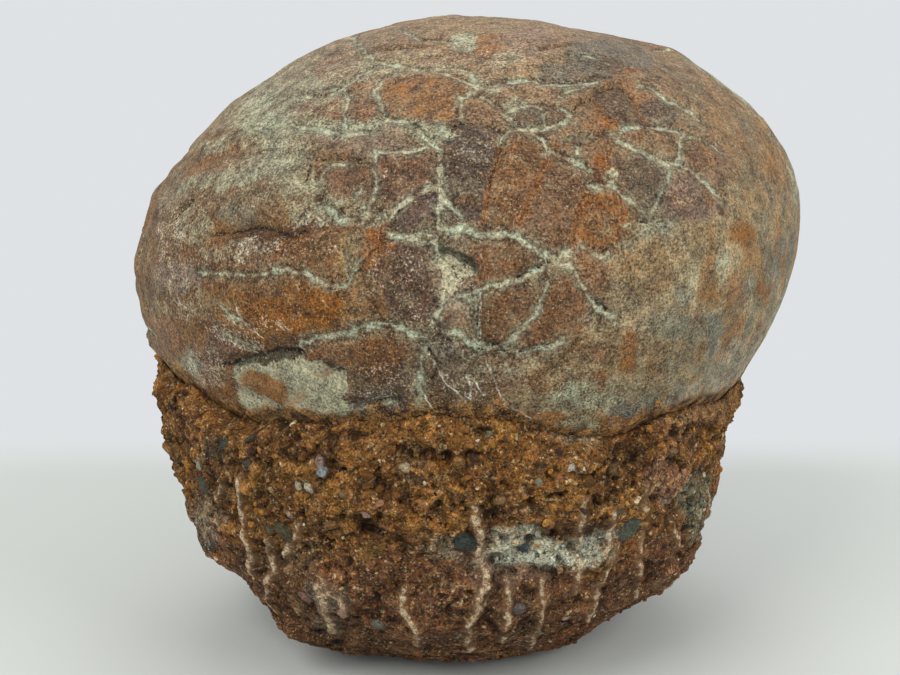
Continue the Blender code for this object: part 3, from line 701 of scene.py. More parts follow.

# Films and stains on the shell, with painted shadow among the dark spots: ellipse in the picture, then how
# strong it is
shellFilms = {
    "haze": (
        (300, 110, 90, 26, -28, 0.55), (330, 128, 70, 10, 0, 0.75), (285, 118, 14, 20, 0, 0.6),
        (420, 135, 22, 10, 35, 0.6), (225, 180, 50, 10, -12, 0.6), (360, 70, 90, 20, -12, 0.45),
        (462, 45, 14, 10, 0, 0.6), (500, 60, 22, 10, 0, 0.5), (487, 88, 18, 8, 0, 0.5),
        (270, 150, 40, 26, -20, 0.4), (262, 120, 30, 40, 20, 0.7), (425, 130, 30, 9, 10, 0.7),
        (465, 44, 10, 8, 0, 0.8), (655, 228, 16, 7, 0, 0.6), (600, 402, 26, 10, 0, 0.5),
        (700, 312, 12, 16, 0, 0.4), (566, 392, 20, 12, 0, 0.5), (720, 268, 7, 26, 4, 0.5),
        (690, 268, 6, 18, 4, 0.4), (640, 350, 5, 22, 4, 0.5), (672, 372, 5, 18, 4, 0.45),
        (746, 296, 5, 22, 4, 0.4), (230, 142, 40, 8, -14, 0.5), (340, 206, 30, 8, 10, 0.5),
        (195, 225, 18, 22, 0, 0.45), (240, 252, 44, 12, 0, 0.45), (430, 132, 16, 12, 0, 0.6),
        (516, 102, 14, 6, 0, 0.6), (350, 215, 40, 16, 0, 0.4), (310, 205, 24, 26, 0, 0.45),
        (520, 372, 60, 12, 0, 0.3), (190, 370, 14, 16, 0, 0.5), (640, 228, 22, 8, 0, 0.45),
        (610, 176, 9, 5, 0, 0.7), (180, 300, 26, 22, 0, 0.35), (545, 152, 10, 5, 0, 0.5),
        (430, 235, 40, 8, 0, 0.3), (460, 345, 40, 8, 0, 0.4), (580, 432, 26, 16, 0, 0.75),
        (400, 60, 60, 12, 0, 0.35), (600, 320, 26, 10, 0, 0.3),
    ),
    "stain": (
        (312, 306, 48, 28, 0, 1.0), (292, 245, 14, 7, 0, 0.8), (255, 318, 42, 24, 0, 0.8),
        (265, 386, 25, 12, 30, 1.0), (230, 388, 10, 8, 0, 0.8), (322, 373, 12, 6, 0, 0.55),
        (296, 398, 12, 8, 0, 0.4), (570, 143, 5, 5, 0, 0.9), (572, 115, 5, 5, 0, 0.8),
        (744, 236, 12, 16, 0, 0.6), (762, 288, 9, 9, 0, 0.6), (710, 290, 14, 12, 0, 0.5),
        (632, 352, 14, 22, 0, 0.55), (626, 72, 14, 5, 0, 0.6), (378, 245, 12, 24, 25, 0.6),
        (605, 215, 26, 40, 0, 0.5), (420, 97, 36, 16, 0, 0.4), (320, 112, 22, 16, 0, 0.45),
        (360, 350, 60, 18, 0, 0.4), (620, 428, 70, 12, 0, 0.7), (500, 420, 110, 9, 0, 0.6),
        (300, 422, 60, 8, 0, 0.5), (175, 330, 20, 50, 0, 0.4), (560, 300, 30, 24, 0, 0.3),
        (612, 130, 10, 10, 0, 0.6), (600, 168, 8, 14, 0, 0.7),
    ),
    "grey": (
        (767, 265, 8, 26, 0, 0.7), (745, 292, 7, 9, 0, 0.7), (695, 329, 34, 11, 0, 0.7),
        (632, 407, 28, 8, 0, 0.6), (712, 367, 22, 9, 0, 0.6), (700, 401, 12, 7, 0, 0.6),
        (630, 237, 12, 13, 0, 0.6), (675, 223, 15, 5, 0, 0.6), (600, 390, 50, 16, 0, 0.5),
        (470, 170, 24, 44, 0, 0.35), (665, 112, 20, 16, 0, 0.4), (440, 262, 30, 20, 0, 0.3),
        (560, 395, 30, 12, 0, 0.35), (660, 380, 30, 14, 0, 0.4), (455, 245, 22, 14, 0, 0.5),
    ),
    "salt": (
        (262, 247, 34, 10, 0, 0.55), (225, 262, 30, 8, 0, 0.4), (255, 322, 34, 12, 10, 0.45),
        (172, 240, 14, 44, 0, 0.5), (238, 340, 36, 10, 28, 0.6), (205, 370, 22, 24, 0, 0.6),
        (462, 388, 34, 22, 0, 0.36), (385, 385, 34, 24, 0, 0.4), (300, 225, 12, 6, 0, 0.9),
        (413, 69, 5, 3, 0, 0.9), (320, 250, 26, 10, 0, 0.4), (395, 270, 30, 22, 0, 0.4),
        (470, 150, 24, 24, 0, 0.35), (690, 195, 24, 16, 0, 0.35), (410, 180, 30, 20, 0, 0.3),
        (230, 200, 50, 12, 0, 0.35), (640, 380, 40, 12, -20, 0.3), (500, 60, 70, 26, 0, 0.3),
        (330, 60, 60, 20, -20, 0.3), (305, 308, 30, 20, 0, 0.2), (425, 320, 20, 16, 0, 0.42),
        (300, 350, 20, 6, 0, 0.5),
    ),
    # dark spots; the one along the overhanging ledge at (262, 232) is painted shadow under that ledge
    "sootAndShadow": (
        (355, 162, 5, 4, 0, 0.9), (385, 116, 6, 3, 0, 0.7), (650, 125, 8, 4, 0, 0.8),
        (696, 252, 9, 7, 0, 0.5), (718, 210, 5, 6, 0, 0.5), (636, 212, 16, 9, 20, 0.5),
        (600, 304, 8, 5, 30, 0.8), (460, 254, 18, 5, 12, 0.6), (175, 405, 8, 9, 0, 0.9),
        (265, 357, 34, 5, -9, 0.5), (340, 372, 10, 3, 0, 0.6), (262, 232, 44, 5, 0, 0.5),
        (155, 210, 8, 14, 0, 0.5), (420, 415, 30, 6, 0, 0.4),
    ),
}

shellPaints = {
    "plain": (130, 98, 66), "warm": (138, 102, 62), "purple": (104, 82, 66), "tan": (156, 136, 100),
    "haze": (160, 165, 138), "stain": (132, 82, 24), "grey": (112, 114, 98), "sootAndShadow": (40, 32, 26),
    "salt": (184, 172, 156), "umber": (56, 40, 30), "veil": (148, 140, 110), "blush": (144, 126, 104),
    "patch": (170, 170, 142), "scratch": (214, 210, 192), "soilDark": (84, 56, 28),
    "soil": (92, 70, 50), "rimSoil": (130, 94, 50), "pit": (196, 190, 158), "pitShade": (62, 64, 50),
    "gold": (156, 112, 62),
    "paleLine": (186, 181, 152), "coolLine": (156, 166, 142), "rustLine": (96, 56, 26),
    "rustFilm": (150, 94, 44), "darkLine": (36, 28, 24), "fleck": (200, 182, 146), "mote": (50, 36, 28),
}


def eggRadius(rays):
    # distance from the egg's middle to its plain form: the sum of each axis share to a power is 1,
    # on a form rolled about Y, plus bell-shaped swells around chosen places
    roll = np.radians(shell["roll"])
    along = rays[..., 0] * np.cos(roll) + rays[..., 2] * np.sin(roll)
    up = rays[..., 2] * np.cos(roll) - rays[..., 0] * np.sin(roll)
    tall = np.where(up > 0.0, shell["rise"], shell["drop"])
    power = shell["power"]
    total = ((np.abs(along) / shell["halfLength"]) ** power
             + (np.abs(rays[..., 1]) / shell["halfDepth"]) ** power + (np.abs(up) / tall) ** power)
    radius = total ** (-1.0 / power)
    for longitude, latitude, wide, height in shell["swells"]:
        away = angleFrom(rays, (longitude, latitude))
        radius = radius + height * np.exp(-((away / wide) ** 2))
    return radius


def angleFrom(rays, place):
    # degrees between each ray and the direction of a longitude and latitude
    return np.degrees(np.arccos(np.clip(rays @ direction(*place), -1.0, 1.0)))


def outsideEgg(places):
    # how far places stand outside the egg's plain form, measured from its middle
    away = places - modelShift - np.array(shell["centre"])
    length = np.linalg.norm(away, axis=1)
    return length - eggRadius(away / length[:, None])


def ledgeDepth(rays):
    # short cuts along great circles that fade to both sides and at their ends
    depth = np.zeros(len(rays))
    for start, end, wide, deepest in shell["ledges"]:
        a, b = direction(*start), direction(*end)
        beside = np.degrees(np.arcsin(np.clip(rays @ unit(np.cross(a, b)), -1.0, 1.0)))
        half = np.degrees(np.arccos(np.clip(a @ b, -1.0, 1.0))) / 2.0
        along = np.degrees(np.arccos(np.clip(rays @ unit(a + b), -1.0, 1.0)))
        depth += deepest * np.clip(1.5 - along / half, 0.0, 1.0) * np.exp(-((beside / wide) ** 2))
    return depth


def plateMiddles():
    # placed plate middles, then chance ones that keep a spacing from all the others
    placed = np.array([direction(*place) for place in shell["plateMiddles"]])
    chance = np.random.default_rng(shell["plateSeed"])
    closest = np.cos(np.radians(shell["plateSpacing"]))
    middles = list(placed)
    while len(middles) < len(placed) + shell["backPlates"]:
        trial = chance.normal(size=3)
        trial /= np.linalg.norm(trial)
        if max(float(trial @ middle) for middle in middles) < closest:
            middles.append(trial)
    return np.array(middles)


def plateBorders(rays, middles):
    # nearest plate, the neighbour across its closest border, and the step onto that border:
    # the border lies where both middles are equally close
    closeness = rays @ middles.T
    order = np.argsort(-closeness, axis=1)[:, :2]
    across = unit(middles[order[:, 0]] - middles[order[:, 1]])
    offset = np.sum(rays * across, axis=1)
    return order[:, 0], order[:, 1], -offset[:, None] * across, np.abs(offset)


def cubeGrid(count):
    # six square sheets of a cube whose shared edges share vertices: whole-number corners, quads
    # that face outwards, and each quad corner's place on a flat map of three by two squares
    steps = np.arange(count + 1)
    a, b = np.meshgrid(steps, steps, indexing="ij")
    corners, quads, maps = [], [], []
    margin = 0.012
    for sheet, (axis, side) in enumerate(product(range(3), (0, count))):
        sheetCorners = np.zeros((count + 1, count + 1, 3), dtype=np.int64)
        sheetCorners[..., axis] = side
        sheetCorners[..., (axis + 1) % 3] = a
        sheetCorners[..., (axis + 2) % 3] = b
        index = np.arange((count + 1) ** 2).reshape(count + 1, count + 1)
        around = [index[:-1, :-1], index[1:, :-1], index[1:, 1:], index[:-1, 1:]]
        if side == 0:
            around = around[::-1]
        loops = np.stack(around, axis=-1).reshape(-1, 4)
        flat = np.stack((a / count, b / count), axis=-1).reshape(-1, 2)[loops]
        flat = flat * (1.0 - 2.0 * margin) + margin
        maps.append((flat + np.array((sheet % 3, sheet // 3))) / np.array((3.0, 2.0)))
        corners.append(sheetCorners.reshape(-1, 3))
        quads.append(loops + sheet * (count + 1) ** 2)
    corners = np.concatenate(corners)
    code = (corners[:, 0] * (count + 1) + corners[:, 1]) * (count + 1) + corners[:, 2]
    kept, first, merged = np.unique(code, return_index=True, return_inverse=True)
    return corners[first], merged.ravel()[np.concatenate(quads)], np.concatenate(maps)


def rimLatitude(azimuth):
    # latitude on the egg where the rock ends: a line through its stations, made ragged by noise
    place, latitude = np.array(rock["rimLine"], dtype=float).T
    line = np.interp(azimuth % 360.0, place, latitude, period=360.0)
    turn = np.radians(np.atleast_1d(azimuth))
    circle = np.stack((np.cos(turn), np.sin(turn), np.zeros_like(turn)), axis=-1) * shell["halfDepth"]
    for size, amount, seed in rock["rimRagged"]:
        line = line + amount * lumps(circle, size, seed)
    return line


def frontShare(places, outward):
    # 1 where a surface faces the camera, easing to 0 where it turns away
    towards = unit(np.array(camera["spot"]) - places)
    return eased(np.sum(towards * outward, axis=1), 0.02, 0.14)


# The rock

rock = {
    "columns": 640,
    "columnGather": 0.22,            # closer columns in front, wider ones behind
    "footRows": 4,
    "wallRows": 138,
    "seatRows": 9,
    "axisX": -0.0023,
    "depthRatio": 0.93,
    "seatGap": 0.0001,
    "rimLine": (
        (0, -23), (14, -20), (30, -17), (46, -18), (62, -21), (78, -17), (92, -14), (106, -18),
        (122, -21), (138, -17), (152, -18), (166, -21), (180, -20), (190, -21), (195, -22.6),
        (203, -23.4), (209, -22.9), (213, -24.6), (218, -26.3), (226, -26.6), (238, -24.7),
        (248, -23), (258, -21.4), (272, -20.3), (279, -22.6), (287, -26), (300, -27.6),
        (309, -24.8), (321, -25.2), (330, -25.6), (338, -25.2), (350, -24),
    ),
    "rimLip": 0.0001,
    "rimRagged": ((0.011, 1.6, 101), (0.0045, 1.0, 102), (0.0018, 0.5, 103)),  # size, degrees, seed
    "rimDrop": 0.0002,
    "rimBlend": 0.0040,
    "tone": 0.94,                    # overall lightness of the rock
    "wallGather": 1.15,
    "seatGather": 1.2,
    "profile": (
        (0.000, 0.0300), (0.003, 0.0365), (0.010, 0.0460), (0.020, 0.0570),
        (0.032, 0.0618), (0.045, 0.0648), (0.066, 0.0680),
    ),
    "lumps": (
        (227, 0.008, 13, 0.007, 0.0060), (208, 0.014, 8, 0.006, -0.0034),
        (204, 0.024, 7, 0.005, 0.0014), (196, 0.044, 20, 0.020, 0.0004),
        (344, 0.047, 24, 0.020, -0.0036), (352, 0.019, 12, 0.004, 0.0010),
        (352, 0.0250, 11, 0.0032, -0.0036), (190, 0.0305, 10, 0.0040, -0.0026),
        (350, 0.040, 14, 0.006, -0.0012), (196, 0.016, 12, 0.006, -0.0012),
        (318, 0.014, 6, 0.007, -0.0022), (282, 0.033, 9, 0.006, -0.0030),
        (268, 0.024, 22, 0.009, 0.0016), (250, 0.050, 26, 0.008, 0.0018),
        (298, 0.049, 20, 0.008, 0.0018), (90, 0.036, 24, 0.014, 0.0022),
        (60, 0.018, 12, 0.009, -0.0026), (128, 0.026, 14, 0.010, -0.0022),
        (30, 0.040, 14, 0.012, 0.0012),
    ),
    # upright ribs on the back and sides: (azimuth, lean in degrees per metre, low, high)
    "backRibs": (
        (12, 50, 0.004, 0.034), (26, -40, 0.010, 0.030), (40, -60, 0.003, 0.040),
        (53, 30, 0.008, 0.026), (66, 50, 0.004, 0.038), (84, -40, 0.006, 0.042),
        (93, 20, 0.003, 0.022), (101, 60, 0.010, 0.040), (118, -30, 0.004, 0.036),
        (131, 40, 0.014, 0.034), (142, 60, 0.004, 0.042), (163, -50, 0.006, 0.036),
        (176, 20, 0.012, 0.030), (190, -30, 0.016, 0.038), (354, 30, 0.010, 0.034),
    ),
    "ribHeight": 0.0011,
    "ribBend": 0.0012,
    "crumbRise": (0.0003, 0.00025),          # of the large and the small crumbs
    "relief": (0.0022, 0.0013, 0.0011),      # of broad, ragged and finer lumps
    "pitDepth": 0.0012,
    "crackDepth": 0.0009,
    "chalkFrom": 170,                # a wash whose three colour values are all above this is chalk
    "roughness": (0.72, 0.98),
    "looks": (0.2, 0.0010, 1.0),     # shine, bump height in metres, bump strength
    "crumbleCoarse": 0.0020,
    "crumbleFine": 0.0010,
    "coarseScale": 0.016,
    "fineScale": 0.007,
    "footRoughness": 0.35,
    "footFade": 0.004,
    "rimRoughness": 0.08,
    "pebbleStanding": 0.45,
    # pebbles on the back and sides: (azimuth, height, radius)
    "backPebbles": (
        (20, 0.030, 0.0032), (74, 0.044, 0.0030), (104, 0.020, 0.0036), (152, 0.034, 0.0028),
        (46, 0.024, 0.0020), (62, 0.034, 0.0016), (88, 0.030, 0.0022), (116, 0.040, 0.0018),
        (134, 0.018, 0.0020), (168, 0.028, 0.0022), (8, 0.020, 0.0018), (96, 0.010, 0.0020),
        (184, 0.036, 0.0018), (30, 0.046, 0.0016),
    ),
}

# Pebbles that show from the front: place in the picture, radius in millimetres, and colour
rockPebbles = (
    (200, 465, 1.5, (150, 160, 145)), (205, 485, 2.2, (72, 84, 76)), (225, 443, 1.1, (70, 80, 72)),
    (250, 437, 0.9, (74, 84, 74)), (247, 463, 1.1, (88, 90, 74)), (270, 530, 1.3, (96, 92, 66)),
    (284, 531, 2.1, (92, 88, 64)), (320, 461, 1.2, (156, 128, 118)), (322, 472, 1.1, (150, 162, 160)),
    (298, 486, 0.9, (196, 184, 156)), (308, 486, 1.1, (200, 190, 164)), (366, 515, 0.9, (196, 156, 140)),
    (290, 515, 0.9, (190, 160, 140)), (405, 467, 1.0, (190, 170, 134)), (306, 597, 1.7, (146, 112, 102)),
    (343, 613, 1.5, (180, 140, 122)), (378, 625, 1.7, (110, 112, 98)), (466, 542, 2.2, (66, 74, 68)),
    (522, 548, 1.3, (62, 74, 80)), (627, 528, 2.6, (92, 100, 88)), (620, 511, 0.9, (96, 100, 88)),
    (552, 570, 0.9, (34, 28, 26)), (335, 643, 0.8, (30, 26, 24)), (285, 608, 0.8, (34, 28, 24)),
    (520, 608, 1.4, (110, 104, 96)), (565, 618, 0.9, (184, 164, 140)), (655, 582, 1.5, (150, 110, 78)),
    (570, 467, 1.0, (206, 196, 176)), (598, 436, 0.9, (190, 170, 130)), (240, 560, 1.0, (92, 62, 46)),
    (430, 600, 1.1, (120, 84, 66)), (500, 500, 1.0, (150, 116, 74)), (346, 492, 1.0, (120, 96, 66)),
    (420, 480, 0.9, (86, 66, 48)), (458, 462, 1.1, (150, 112, 62)), (540, 470, 1.0, (110, 84, 58)),
    (612, 470, 1.1, (128, 98, 64)), (672, 452, 1.2, (132, 104, 74)), (690, 490, 1.2, (140, 136, 116)),
    (700, 500, 1.0, (120, 126, 108)), (226, 520, 1.0, (150, 130, 110)),
)

# Ribs of pale vein rock that show from the front: width in millimetres, then places in the picture
rockLines = {
    "rib": (
        (1.2, (241, 480), (242, 500), (243, 515), (247, 535), (252, 555), (253, 572)),
        (0.8, (222, 480), (220, 500)),
        (1.2, (268, 540), (272, 555), (276, 568), (268, 585), (268, 600), (280, 612)),
        (1.0, (302, 522), (296, 535), (290, 550), (285, 556)),
        (1.2, (323, 575), (330, 590), (340, 600), (348, 610)),
        (1.8, (320, 585), (325, 600), (328, 615), (335, 632)),
        (1.4, (403, 590), (405, 612), (415, 630), (420, 645)),
        (1.7, (475, 510), (478, 530), (478, 550), (483, 570), (488, 585)),
        (1.3, (483, 585), (478, 605), (470, 625), (467, 640), (470, 650)),
        (1.0, (507, 580), (508, 600), (505, 620), (502, 640)),
        (1.0, (540, 575), (542, 590), (541, 605), (538, 620), (533, 635), (528, 647)),
        (0.9, (583, 500), (583, 520), (579, 535), (577, 555), (576, 575), (575, 590)),
        (1.2, (612, 510), (610, 530), (606, 545), (603, 550)),
        (1.0, (618, 530), (614, 550), (609, 568), (604, 578)), (1.1, (596, 588), (592, 605), (586, 620)),
        (1.0, (643, 487), (643, 510), (641, 540), (637, 560), (637, 580), (634, 598)),
        (0.8, (668, 520), (675, 535), (676, 545)),
    ),
}

# Tints mottled over the rock: patches per millimetre, then the least noise and the strength of
# dark, pale and rusty soil
rockTints = (
    (0.11, (0.50, 0.35), (0.57, 0.16), (0.53, 0.22)),
    (0.28, (0.50, 0.45), (0.56, 0.24), (0.53, 0.32)),
    (0.80, (0.51, 0.55), (0.57, 0.45), (0.55, 0.30)),
)

rockWashes = (
    ((474, 548, 50, 11, 0), (180, 176, 152), 0.6), ((545, 553, 62, 16, -5), (204, 207, 184), 1.0),
    ((520, 536, 30, 9, 0), (196, 200, 174), 0.85), ((598, 540, 22, 8, -14), (212, 212, 188), 0.9),
    ((510, 572, 40, 9, 0), (168, 138, 118), 0.7), ((665, 482, 20, 20, 0), (150, 116, 98), 0.6),
    ((697, 494, 17, 24, 24), (134, 138, 116), 0.9), ((697, 528, 10, 17, 0), (122, 126, 106), 0.85),
    ((204, 522, 14, 26, 0), (150, 144, 124), 0.85), ((214, 452, 10, 8, 0), (120, 122, 100), 0.7),
    ((330, 596, 26, 14, 30), (140, 130, 112), 0.6), ((300, 560, 22, 18, 0), (112, 92, 66), 0.6),
    ((208, 544, 9, 6, 0), (84, 92, 92), 0.7), ((370, 550, 16, 10, 0), (142, 108, 52), 0.7),
    # the dark brown washes at (380, 528), (522, 512) and (572, 530), along the lower edge of the crumbly
    # band, are painted shadow under that edge
    ((225, 470, 26, 30, 0), (120, 92, 64), 0.5), ((380, 528, 24, 12, 0), (70, 42, 20), 0.8),
    ((522, 512, 26, 8, 0), (72, 44, 22), 0.7), ((572, 530, 30, 9, 0), (66, 42, 24), 0.6),
    ((655, 575, 7, 5, 0), (36, 24, 18), 0.9), ((665, 583, 10, 8, 0), (150, 112, 80), 0.7),
    ((330, 440, 90, 12, 0), (134, 92, 48), 0.6), ((470, 470, 90, 26, 0), (124, 82, 36), 0.6),
    ((640, 440, 60, 12, 0), (150, 100, 52), 0.7), ((578, 430, 24, 14, 0), (160, 156, 134), 0.8),
    ((174, 405, 7, 9, 0), (22, 16, 14), 0.9), ((700, 418, 36, 13, -30), (152, 114, 76), 0.8),
    ((325, 610, 14, 26, -15), (146, 142, 128), 0.55), ((480, 560, 14, 30, 0), (140, 112, 92), 0.5),
)

rockPaints = {
    "ochre": (148, 103, 48), "ochreDark": (104, 70, 32), "red": (128, 86, 56), "redDark": (102, 68, 44),
    "rib": (222, 200, 166), "ribFilm": (156, 124, 92), "plum": (100, 74, 60),
    "crumbPale": (204, 178, 132), "darkCrumbAndShade": (50, 36, 24), "crumbGold": (166, 118, 60),
    "crumbGrey": (124, 122, 100), "rust": (146, 88, 40),
}


def wallOut(azimuth, height, fine):
    # the rock's wall, seen from its axis: half length from the profile, stretched to an oval,
    # with bell-shaped lumps; the share from 0 at the foot to 1 at the rim is found from the height
    rimRay = direction(azimuth, rimLatitude(azimuth))
    rim = np.array(shell["centre"]) + rimRay * (eggRadius(rimRay) + rock["seatGap"])[:, None]
    top = rim[:, 2] - rock["rimDrop"]
    turn = np.radians(azimuth)
    out = np.stack((np.cos(turn), np.sin(turn), np.zeros_like(turn)), axis=-1)
    axis = np.array((rock["axisX"], 0.0, 0.0))
    level, half = np.array(rock["profile"]).T
    plan = 1.0 / np.sqrt(np.cos(turn) ** 2 + (np.sin(turn) / rock["depthRatio"]) ** 2)
    wall = np.interp(height, level, half) * plan
    for place, middle, wide, tall, size in rock["lumps"]:
        round_ = (azimuth - place + 180.0) % 360.0 - 180.0
        wall += size * np.exp(-((round_ / wide) ** 2) - ((height - middle) / tall) ** 2)
    smooth = axis + out * wall[:, None]
    smooth[:, 2] = height
    coarse = lumps(smooth, rock["coarseScale"], 3) + 0.5 * lumps(smooth, rock["coarseScale"] / 2.0, 4)
    rough = rock["crumbleCoarse"] * coarse + rock["crumbleFine"] * lumps(smooth, rock["fineScale"], 5)
    offFoot = np.clip(height / rock["footFade"], 0.0, 1.0)
    wall = wall + rough * (rock["footRoughness"] + (1.0 - rock["footRoughness"]) * offFoot)
    meet = np.clip((height - top + rock["rimBlend"]) / rock["rimBlend"], 0.0, 1.0) ** 2
    wall = wall + fine * (1.0 - 0.5 * meet) * (0.3 + 0.7 * offFoot)
    wallPlaces = axis + out * wall[:, None]
    lip = rock["rimLip"] + rock["rimRoughness"] * np.abs(rough) + 0.12 * np.maximum(fine, 0.0)
    rimPlaces = rim + out * lip[:, None]
    places = wallPlaces * (1.0 - meet[:, None]) + rimPlaces * meet[:, None]
    places[:, 2] = height
    return places, top


def outsideRock(places):
    # how far places stand outside the wall, measured level from its axis
    local = places - modelShift
    azimuth = np.degrees(np.arctan2(local[:, 1], local[:, 0] - rock["axisX"])) % 360.0
    height = np.clip(local[:, 2], 0.0, None)
    wall, top = wallOut(azimuth, np.minimum(height, 0.066), np.zeros(len(local)))
    reach = np.hypot(wall[:, 0] - rock["axisX"], wall[:, 1])
    return np.hypot(local[:, 0] - rock["axisX"], local[:, 1]) - reach


# Build the egg

def buildShell():
    # cube sheets drawn onto a ball, one ray for each point; a ray is as long as the plain egg's
    # radius, less its ledges, plus relief less grooves, and these fade out below the rim
    corners, quads, flatMap = cubeGrid(shell["gridCount"])
    rays = unit(np.tan((corners / shell["gridCount"] * 2.0 - 1.0) * np.pi / 4.0))
    rays = unit(rays + np.array(shell["gather"]))
    centre = np.array(shell["centre"])
    plain = eggRadius(rays)
    places = centre + rays * plain[:, None] + modelShift
    latitude = np.degrees(np.arcsin(rays[:, 2]))
    longitude = np.degrees(np.arctan2(rays[:, 1], rays[:, 0]))
    above = latitude - rimLatitude(longitude)
    exposed = np.clip((above - shell["rimMargin"]) / shell["reliefFade"], 0.0, 1.0)
    worn = np.exp(-((angleFrom(rays, shell["wornPlace"]) / shell["wornRadius"]) ** 4))
    seen = frontShare(places, rays)

    # cracks: lines picked from the front, and the borders of plates on the rest of the shell
    bend = lumpSteps(places, 0.0045, (21, 22, 23)) * 0.0005
    middles = plateMiddles()
    sway = lumpSteps(places, 0.013, (24, 25, 26)) * 0.16
    sway += lumpSteps(places, 0.0045, (27, 28, 29)) * 0.07
    plate, other, toBorder, borderAway = plateBorders(unit(rays + sway), middles)
    chance = np.random.default_rng(shell["plateSeed"] + 1)
    pairLuck = chance.uniform(0.0, 1.0, (len(middles), len(middles)))
    luck = pairLuck[np.minimum(plate, other), np.maximum(plate, other)]
    least, added = shell["borderHalf"]
    borderHalf = (least + added * luck * (1.0 - 0.7 * worn)) * eased(1.0 - seen, 0.3, 0.9)
    kinds = {"pale": luck > 0.34, "rust": (luck > 0.14) & (luck <= 0.34), "dark": luck <= 0.14}
    steps, fars, halves = {}, {}, {}
    groove = np.zeros(len(rays))
    anyFar = np.full(len(rays), 0.02)
    for kind, lines in shellLines.items():
        step, far, half = nearestPiece(places + bend, linesToPieces(lines, outsideEgg))
        borderKind = kinds.get(kind, np.zeros(len(rays), dtype=bool))
        borderFar = np.where(borderKind & (borderHalf > 0.00005), borderAway * plain, 0.02)
        swap = borderFar < far
        step = np.where(swap[:, None], toBorder * plain[:, None], step)
        far = np.where(swap, borderFar, far)
        half = np.where(swap, borderHalf, half)
        steps[kind], fars[kind], halves[kind] = step, far, half
        if kind in shell["crackDepth"]:
            groove += shell["crackDepth"][kind] * np.exp(-((far / (half + 0.00035)) ** 2))
            anyFar = np.minimum(anyFar, far)

    # relief: plates domed between their cracks, a few sizes of low lumps, and chipped places
    rise = shell["plateRise"] * (1.0 - np.exp(-anyFar / 0.0022))
    for size, amount, seed in shell["undulation"]:
        rise += amount * lumps(places, size, seed) * (1.0 - 0.4 * worn)
    local = places - modelShift
    leftward = eased(-local[:, 0], 0.0, 0.045)
    rise += shell["bedRise"] * lumps(local * np.array((0.3, 0.3, 1.0)), 0.0045, 14) * leftward
    spots = pictureOf(places)
    wander = lumpSteps(places, 0.006, (31, 32)) * 9.0
    wander += lumpSteps(places, 0.0022, (33, 34)) * 8.0
    moved = spots + wander
    pit = insideSpots(moved, pitOutline, 2.0) * seen
    pitShade = insideSpots(moved, pitShadeOutline, 2.0) * seen
    patch = insideSpots(moved, patchOutline, 3.0) * seen
    lens = insideSpots(moved * 0.3 + spots * 0.7, lensOutline, 1.6) * seen
    rise -= shell["pitDepth"] * pit + shell["lensDepth"] * lens

    # soil over the shell's edge: crumbs as on the rock, from nothing at the rim line
    soil = eased(above + 4.0 * lumps(local, 0.009, 55) + 3.0 * lumps(local, 0.003, 56), 4.2, 0.4)
    crust = np.clip(0.45 + 1.3 * lumps(places, 0.0030, 73) + 1.0 * lumps(places, 0.0016, 74), 0.0, 1.2)
    rise += shell["soilThick"] * soil * crust * eased(above, 0.0, 0.5)
    radius = plain - exposed * ledgeDepth(rays) + exposed * (rise - groove)
    places = centre + rays * radius[:, None] + modelShift

    # colours: plates by outline in front, by nearest middle elsewhere, under broad washes
    paints = {name: paint(*value) for name, value in shellPaints.items()}
    tones = np.stack([paints[name] for name in ("plain", "warm", "purple", "tan")])
    plateTone = tones[chance.integers(0, 4, len(middles))] * chance.uniform(0.8, 1.15, (len(middles), 1))
    patchy = eased(lumps(local, 0.030, 41) + 0.5 * lumps(local, 0.012, 42), -0.35, 0.35)
    backColour = layColour(plateTone[plate], 0.05 + 0.40 * patchy, paints["warm"])
    backColour = layColour(backColour, 0.5 * eased(latitude, 20.0, 65.0), paint(*shellWashes[0][1]))
    backColour = layColour(backColour, worn * 0.8, paints["tan"])
    frontColour = np.tile(paints["plain"], (len(rays), 1))
    for wash, colour, share in shellWashes:
        frontColour = layColour(frontColour, spotWash(moved, wash) * share, paint(*colour))
    plateSpots = moved * 0.35 + spots * 0.65
    for colour, outline in shellPlates:
        share = insideSpots(plateSpots, outline, 1.5) * 0.9
        frontColour = layColour(frontColour, share, paint(*colour))
    ground = layColour(backColour, seen, frontColour)

    made = makePiece("fossil_shell", places, [quads], shellMaterial(paints), flatMap.reshape(-1, 2))
    keepValues(made, "ground", opaque(ground))
    for kind in steps:
        keepValues(made, kind + "Step", steps[kind] * 1000.0)
        keepValues(made, kind + "Far", fars[kind] * 1000.0)
        keepValues(made, kind + "Half", halves[kind] * 1000.0)
    for name, washes in shellFilms.items():
        film = np.zeros(len(rays))
        for wash in washes:
            film = np.maximum(film, spotWash(moved, wash) * wash[5])
        backFilm = {"haze": 0.8 * eased(lumps(local, 0.024, 51), 0.02, 0.35),
                    "stain": 0.6 * eased(lumps(local, 0.028, 52), 0.05, 0.45),
                    "grey": 0.5 * eased(lumps(local, 0.018, 53), 0.1, 0.45),
                    "salt": 0.45 * eased(lumps(local, 0.016, 57), 0.1, 0.4),
                    "sootAndShadow": 0.4 * eased(lumps(local, 0.010, 54), 0.3, 0.5)}[name]
        keepValues(made, name, film * seen + backFilm * (1.0 - seen))
    for name, values in (("soil", soil), ("worn", worn), ("pit", pit), ("pitShade", pitShade),
                         ("patch", patch), ("lens", lens)):
        keepValues(made, name, values)
    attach(made, "root")
    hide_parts("egg")
    print("shell:", len(rays), "points,", len(quads) * 2, "triangles")
    return made


# The films' looks: how grainy, the amounts at which each starts and is full, and its strength
filmLooks = {
    "stain": (0.7, 0.28, 0.86, 0.88), "grey": (0.7, 0.30, 0.8, 0.7), "haze": (0.6, 0.16, 0.90, 0.80),
    "salt": (1.7, 0.55, 0.95, 0.75), "sootAndShadow": (1.0, 0.35, 0.65, 0.85),
}


